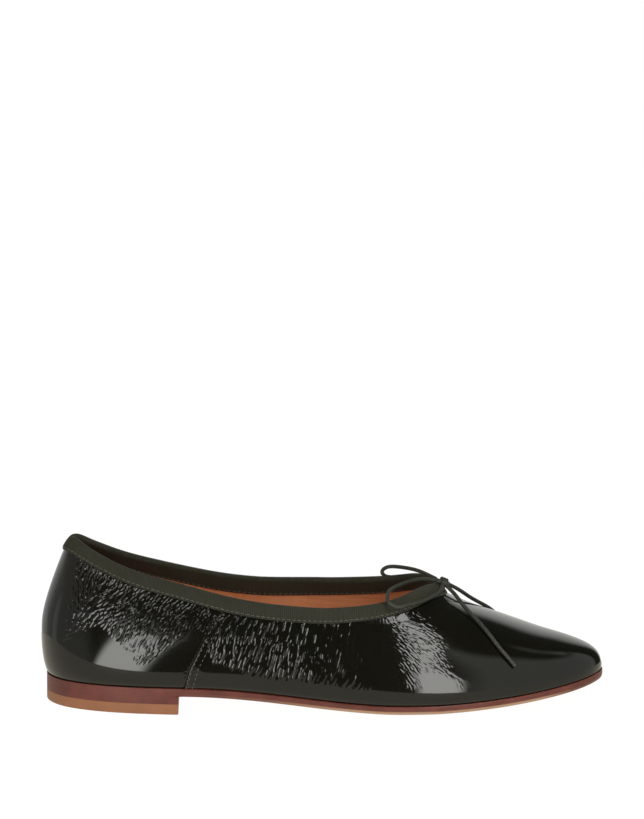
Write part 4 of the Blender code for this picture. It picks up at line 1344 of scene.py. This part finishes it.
def layer_piece(name, inset, stop, bottom, top, profile, plain_from, rows, columns, sharp_to=-1.0):
    """A layer between two surfaces, cut to the sole's outline. profile lists (inset, height share)
    from its upper edge to its lower edge, and plain_from is the row where the stain ends. The edge
    is neither rounded nor plain behind sharp_to."""
    plan = {side: moved_out(SOLE[side], side, -inset) for side in SIDES}
    back = plan[-1][0, 0]
    to_toe = stop is None
    front = plan[-1][-1, 0] if to_toe else stop
    turn = np.linspace(0.0, math.pi if to_toe else math.pi / 2, rows)
    shares = (1 - np.cos(turn)) / (1 - math.cos(turn[-1]))

    def eased(x):
        return ease(sharp_to, sharp_to + EDGE_FADE, x)

    def level(extra, height, count):
        low, high = (moved_out(plan[side], side, -extra * eased(plan[side][:, 0])) for side in SIDES)
        behind, ahead = extra * eased(back), extra * eased(front)
        x = back + behind + (front - back - behind - ahead) * shares[:, None]
        reach = np.linspace(0.0, 1.0, count)
        y = across(low, x) + (across(high, x) - across(low, x)) * reach
        x = np.broadcast_to(x, y.shape)
        return np.stack([x, y, bottom(x, y) + (top(x, y) - bottom(x, y)) * height], axis=2)

    under = level(*profile[-1], columns)
    grids = [
        (level(*profile[0], columns), 0.0),
        (under, eased(under[:, :, 0]) * (plain_from < len(profile))),
    ]
    rims = np.array([level(extra, height, 2) for extra, height in profile])
    plain = np.array([0.0 if i < plain_from else 1.0 for i in range(len(profile))])
    points, faces, uv, marks = [], [], [], []
    base = 0

    def take(grid, mark):
        nonlocal base
        ids = base + np.arange(grid.shape[0] * grid.shape[1]).reshape(grid.shape[:2])
        points.append(grid.reshape(-1, 3))
        uv.append(grid.reshape(-1, 3)[:, :2])
        marks.append(np.broadcast_to(mark, grid.shape[:2]).ravel())
        faces.extend(strips(ids))
        base += ids.size

    for grid, mark in grids:
        take(grid, mark)
    for side in (0, 1):
        take(rims[:, :, side], plain[:, None] * limit(BARE_EDGE, rims[:, :, side, 0] / MM))
    if not to_toe:
        ends = np.array([level(extra, height, columns)[-1] for extra, height in profile])
        take(ends, 0.0)
    marks = {"plain": np.concatenate(marks)}
    return make_piece(name, np.concatenate(points) - MIDDLE, faces, np.concatenate(uv), marks, sharp=35.0)


def above_sole(height):
    """A surface at a height above the underside of the outsole."""
    return lambda x, y: sole_bottom(x, y) + height


def level_at(height):
    """A level surface."""
    return lambda x, y: np.full_like(y, height)


CLOSE_UP = 0.00027  # the layers of the heel are glued, so they close up
SOCK_BASE = OUTSOLE_THICKNESS + 1.5 * FIT_GAP
LIFT_BASE = TOP_PIECE_THICKNESS + FIT_GAP
SOLE_BACK = SOLE[-1][0, 0]
sock = layer_piece(
    "sock",
    inset=SOLE_MARGIN + WALL + FIT_GAP,
    stop=None,
    bottom=above_sole(SOCK_BASE),
    top=lambda x, y: sole_bottom(x, y) + SOCK_BASE + INSOLE_THICKNESS,
    profile=[(0.0008, 1.0), (0.0003, 0.88), (0.0, 0.6), (0.0, 0.0)],
    plain_from=9,
    rows=140,
    columns=24,
)
sock.data.materials.append(LINING)
finished(sock, "lining_leather", "insole")

outsole = layer_piece(
    "sole",
    inset=0.0,
    stop=None,
    bottom=sole_bottom,
    top=above_sole(OUTSOLE_THICKNESS),
    profile=[
        (0.0002, 1.0), (0.0, 0.93), (0.0, 0.45), (0.0001, 0.32),
        (0.00035, 0.16), (0.0007, 0.06), (0.0012, 0.0),
    ],
    plain_from=3,
    rows=260,
    columns=24,
    sharp_to=SOLE_BACK + HEEL_LENGTH - 0.002,
)
lift = layer_piece(
    "heel_lift_edge",
    inset=0.0,
    stop=SOLE_BACK + HEEL_LENGTH,
    bottom=level_at(LIFT_BASE),
    top=level_at(LIFT_BASE + LIFT_THICKNESS + CLOSE_UP),
    profile=[(0.0, 1.0), (0.0, 0.97), (0.0, 0.03), (0.0, 0.0)],
    plain_from=9,
    rows=120,
    columns=16,
)
top_piece = layer_piece(
    "heel_top_piece_edge",
    inset=0.0,
    stop=SOLE_BACK + HEEL_LENGTH,
    bottom=level_at(0.0),
    top=level_at(TOP_PIECE_THICKNESS + CLOSE_UP),
    profile=[(0.0, 1.0), (0.0, 0.10), (0.0002, 0.03), (0.0005, 0.0)],
    plain_from=9,
    rows=120,
    columns=16,
)

# %% Stain that ends at the rounded edge
BARE_LEATHER = linear(176, 138, 106)
sole_tree = STAINED.node_tree
bare = add_node(sole_tree, "ShaderNodeAttribute", attribute_name="plain")
two_colours = {0: bare.outputs["Fac"], 7: BARE_LEATHER}
recoloured(sole_tree, "ShaderNodeMix", 6, two_colours, 2, data_type="RGBA")
for piece, cover, slot, node in (
    (outsole, STAINED, "stained_sole_leather", "outsole"),
    (lift, STAINED, "stained_sole_leather", "heel_lift"),
    (top_piece, PLAIN, "plain_sole_leather", "heel_top_piece"),
):
    piece.data.materials.append(cover)
    finished(piece, slot, node)
    print(piece.name, len(piece.data.polygons), "faces")

# %% [markdown]
# ## Floor and light
# The photograph is a studio picture on white. The slanted highlights on the side mirror long strip
# lights in front of the shoe, the soft one on the toe mirrors a panel behind it, and the grey band
# above the sole mirrors the white floor. Such lacquer shows whatever stands round it, so area lights
# only light the shoe, and a small dome painted with lamps and cards stands round it for the mirrored
# rays alone.

# %% Floor
floor_mesh = bpy.data.meshes.new("floor")
FLOOR_REACH = 12.0
corners = [(x * FLOOR_REACH, y * FLOOR_REACH, 0) for x, y in ((-1, -1), (1, -1), (1, 1), (-1, 1))]
floor_mesh.from_pydata(corners, [], [(0, 1, 2, 3)])
floor = linked("floor", floor_mesh)
floor.location.z = -0.0001
FLOOR = bpy.data.materials.new("pale_floor")
FLOOR.use_nodes = True
floor_shader = FLOOR.node_tree.nodes["Principled BSDF"]
for socket, value in (
    ("Base Color", (0.06, 0.06, 0.06, 1.0)),
    ("Roughness", 0.9),
    ("Specular IOR Level", 0.0),
    ("Emission Color", (1.0, 1.0, 1.0, 1.0)),
    ("Emission Strength", 0.98),
):
    floor_shader.inputs[socket].default_value = value
floor_mesh.materials.append(FLOOR)

# %% Studio light
world = bpy.data.worlds.new("studio")
world.use_nodes = True
world.node_tree.nodes["Background"].inputs["Color"].default_value = (1.0, 1.0, 1.0, 1.0)
world.node_tree.nodes["Background"].inputs["Strength"].default_value = 0.10
bpy.context.scene.world = world
bpy.context.scene.view_settings.view_transform = "Standard"


def panel(name, place, aim, width, height, radiance):
    """A soft box: an area light of even radiance that faces the shoe. It gives light, and what the
    lacquer mirrors is painted on the dome below."""
    light = bpy.data.lights.new(name, "AREA")
    light.shape = "RECTANGLE"
    light.size, light.size_y = width, height
    light.energy = radiance * width * height * math.pi * 4
    obj = bpy.data.objects.new(name, light)
    obj.location = place
    towards = np.array(aim, float) - np.array(place, float)
    obj.rotation_euler = Vector(towards).to_track_quat("-Z", "Y").to_euler()
    obj.visible_camera = False
    obj.visible_glossy = False
    bpy.context.scene.collection.objects.link(obj)
    print(name, "energy", round(light.energy, 2))


SHOE_MIDDLE = (0.0, 0.0, 0.03)
panel("soft_right", (0.46, -0.65, 0.69), SHOE_MIDDLE, 0.17, 1.45, 1.6)
panel("soft_left", (-0.42, -1.10, 0.42), SHOE_MIDDLE, 0.30, 0.75, 1.5)
panel("soft_back", (0.55, 1.05, 0.95), SHOE_MIDDLE, 1.0, 0.7, 0.8)
panel("overhead", (-0.30, 0.20, 2.2), SHOE_MIDDLE, 1.2, 1.2, 0.9)

# %% Dome that the lacquer mirrors
DOME = (0.265, 0.155, 0.300)  # half sizes
# For each lamp or card: its leaning shape as rows of (up, middle around, half width around) in
# degrees, its radiance, and the angles up between which it shines
LAMPS = {
    "heel_lamp": (
        [(-4, -35, 9), (0, -34, 8.5), (10, -25.5, 5.5), (18, -26, 7), (34, -24, 8)], 5.4, (-90, 12),
    ),
    "upper_lamp": ([(26, -40, 9), (60, -46, 12)], 4.6, (31, 60)),
    "right_lamp": (
        [(0, 20, 6.5), (8, 20.5, 7), (14, 18.5, 4.5), (25, 23.0, 4.5), (31, 27, 7), (37, 33, 8),
         (42, 38, 10), (48, 45, 8)], 5.8, (-90, 50),
    ),
    "left_card": ([(0, -82, 38), (60, -82, 38)], 0.33, (-90, 45)),
    "back_glow": ([(0, -92, 8), (20, -92, 8)], 0.6, (-90, 12)),
    "right_card": ([(0, 68, 40), (30, 72, 38)], 0.58, (-90, 33)),
    "back_card": ([(0, 170, 32), (22, 165, 27), (32, 160, 24)], 0.70, (-90, 22)),
    "far_card": ([(0, 215, 30), (30, 215, 30)], 0.45, (-90, 30)),
    "warm_glint": ([(34, 98, 9), (44, 98, 7)], 0.6, (36, 41)),
}
LAMP_RADIANCE = 2.0  # brighter ones are lamps, with sharper edges than cards
DARK = 0.03
SOFT_AROUND, SOFT_UP = 1.8, 4.0  # degrees over which an edge fades


def glow(around, up):
    """Radiance of the dome at a direction round the shoe, 0 towards the camera and 90 at the toe,
    and at an angle up it."""
    total = np.full(np.shape(around), DARK)
    for shape, radiance, (low, high) in LAMPS.values():
        levels, middles, halves = zip(*shape)
        middle, half = np.interp(up, levels, middles), np.interp(up, levels, halves)
        away = np.abs((around - middle + 180) % 360 - 180)
        is_lamp = radiance > LAMP_RADIANCE
        soft = SOFT_AROUND if is_lamp else 3 * SOFT_AROUND
        share = 1 - ease(-soft, soft, away - half)
        share *= 1 - ease(-SOFT_UP, SOFT_UP * (1 if is_lamp else 1.6), up - high)
        share *= ease(-SOFT_UP, SOFT_UP, up - low)
        total = np.maximum(total, radiance * share)
    return total


def glowing(name, points, faces, values, tint):
    """A sheet that only mirrored rays see, as bright at each point as its value."""
    mesh = bpy.data.meshes.new(name)
    mesh.from_pydata(np.asarray(points).tolist(), [], faces)
    mark = mesh.attributes.new("glow", "FLOAT", "POINT")
    mark.data.foreach_set("value", np.asarray(values, np.float32))
    material = bpy.data.materials.new(name)
    material.use_nodes = True
    tree = material.node_tree
    tree.nodes.clear()
    light = add_node(tree, "ShaderNodeEmission", {"Color": tint})
    strength = add_node(tree, "ShaderNodeAttribute", attribute_name="glow")
    tree.links.new(strength.outputs["Fac"], light.inputs["Strength"])
    add_node(tree, "ShaderNodeOutputMaterial", {"Surface": light})
    mesh.materials.append(material)
    obj = linked(name, mesh)
    for rays in ("camera", "diffuse", "shadow", "transmission", "volume_scatter"):
        setattr(obj, "visible_" + rays, False)
    print(name, "glows from", round(float(np.min(values)), 2), "to", round(float(np.max(values)), 2))


arounds, ups = np.meshgrid(np.arange(0.0, 360.0, 1.0), np.arange(-2.0, 90.5, 1.0))
shell = np.stack([
    DOME[0] * np.sin(np.radians(arounds)) * np.cos(np.radians(ups)),
    -DOME[1] * np.cos(np.radians(arounds)) * np.cos(np.radians(ups)),
    DOME[2] * np.sin(np.radians(ups)),
], axis=2)
shell_faces = strips(np.arange(arounds.size).reshape(arounds.shape), closed=True)
shell_glow = glow(arounds, ups).ravel()
glowing("mirrored_dome", shell.reshape(-1, 3), shell_faces, shell_glow, (1.0, 1.0, 0.96, 1.0))

FLOOR_GLOW = 0.65
SHEET = (0.30, 0.20, -0.00005)  # half sizes, and a height just above the floor
rim = [
    (SHEET[0] * math.sin(turn), SHEET[1] * math.cos(turn), SHEET[2])
    for turn in np.radians(np.arange(0.0, 360.0, 5.0))
]
rim_face = tuple(range(len(rim)))
glowing("mirrored_floor", rim, [rim_face], np.full(len(rim), FLOOR_GLOW), (0.98, 0.93, 0.78, 1.0))
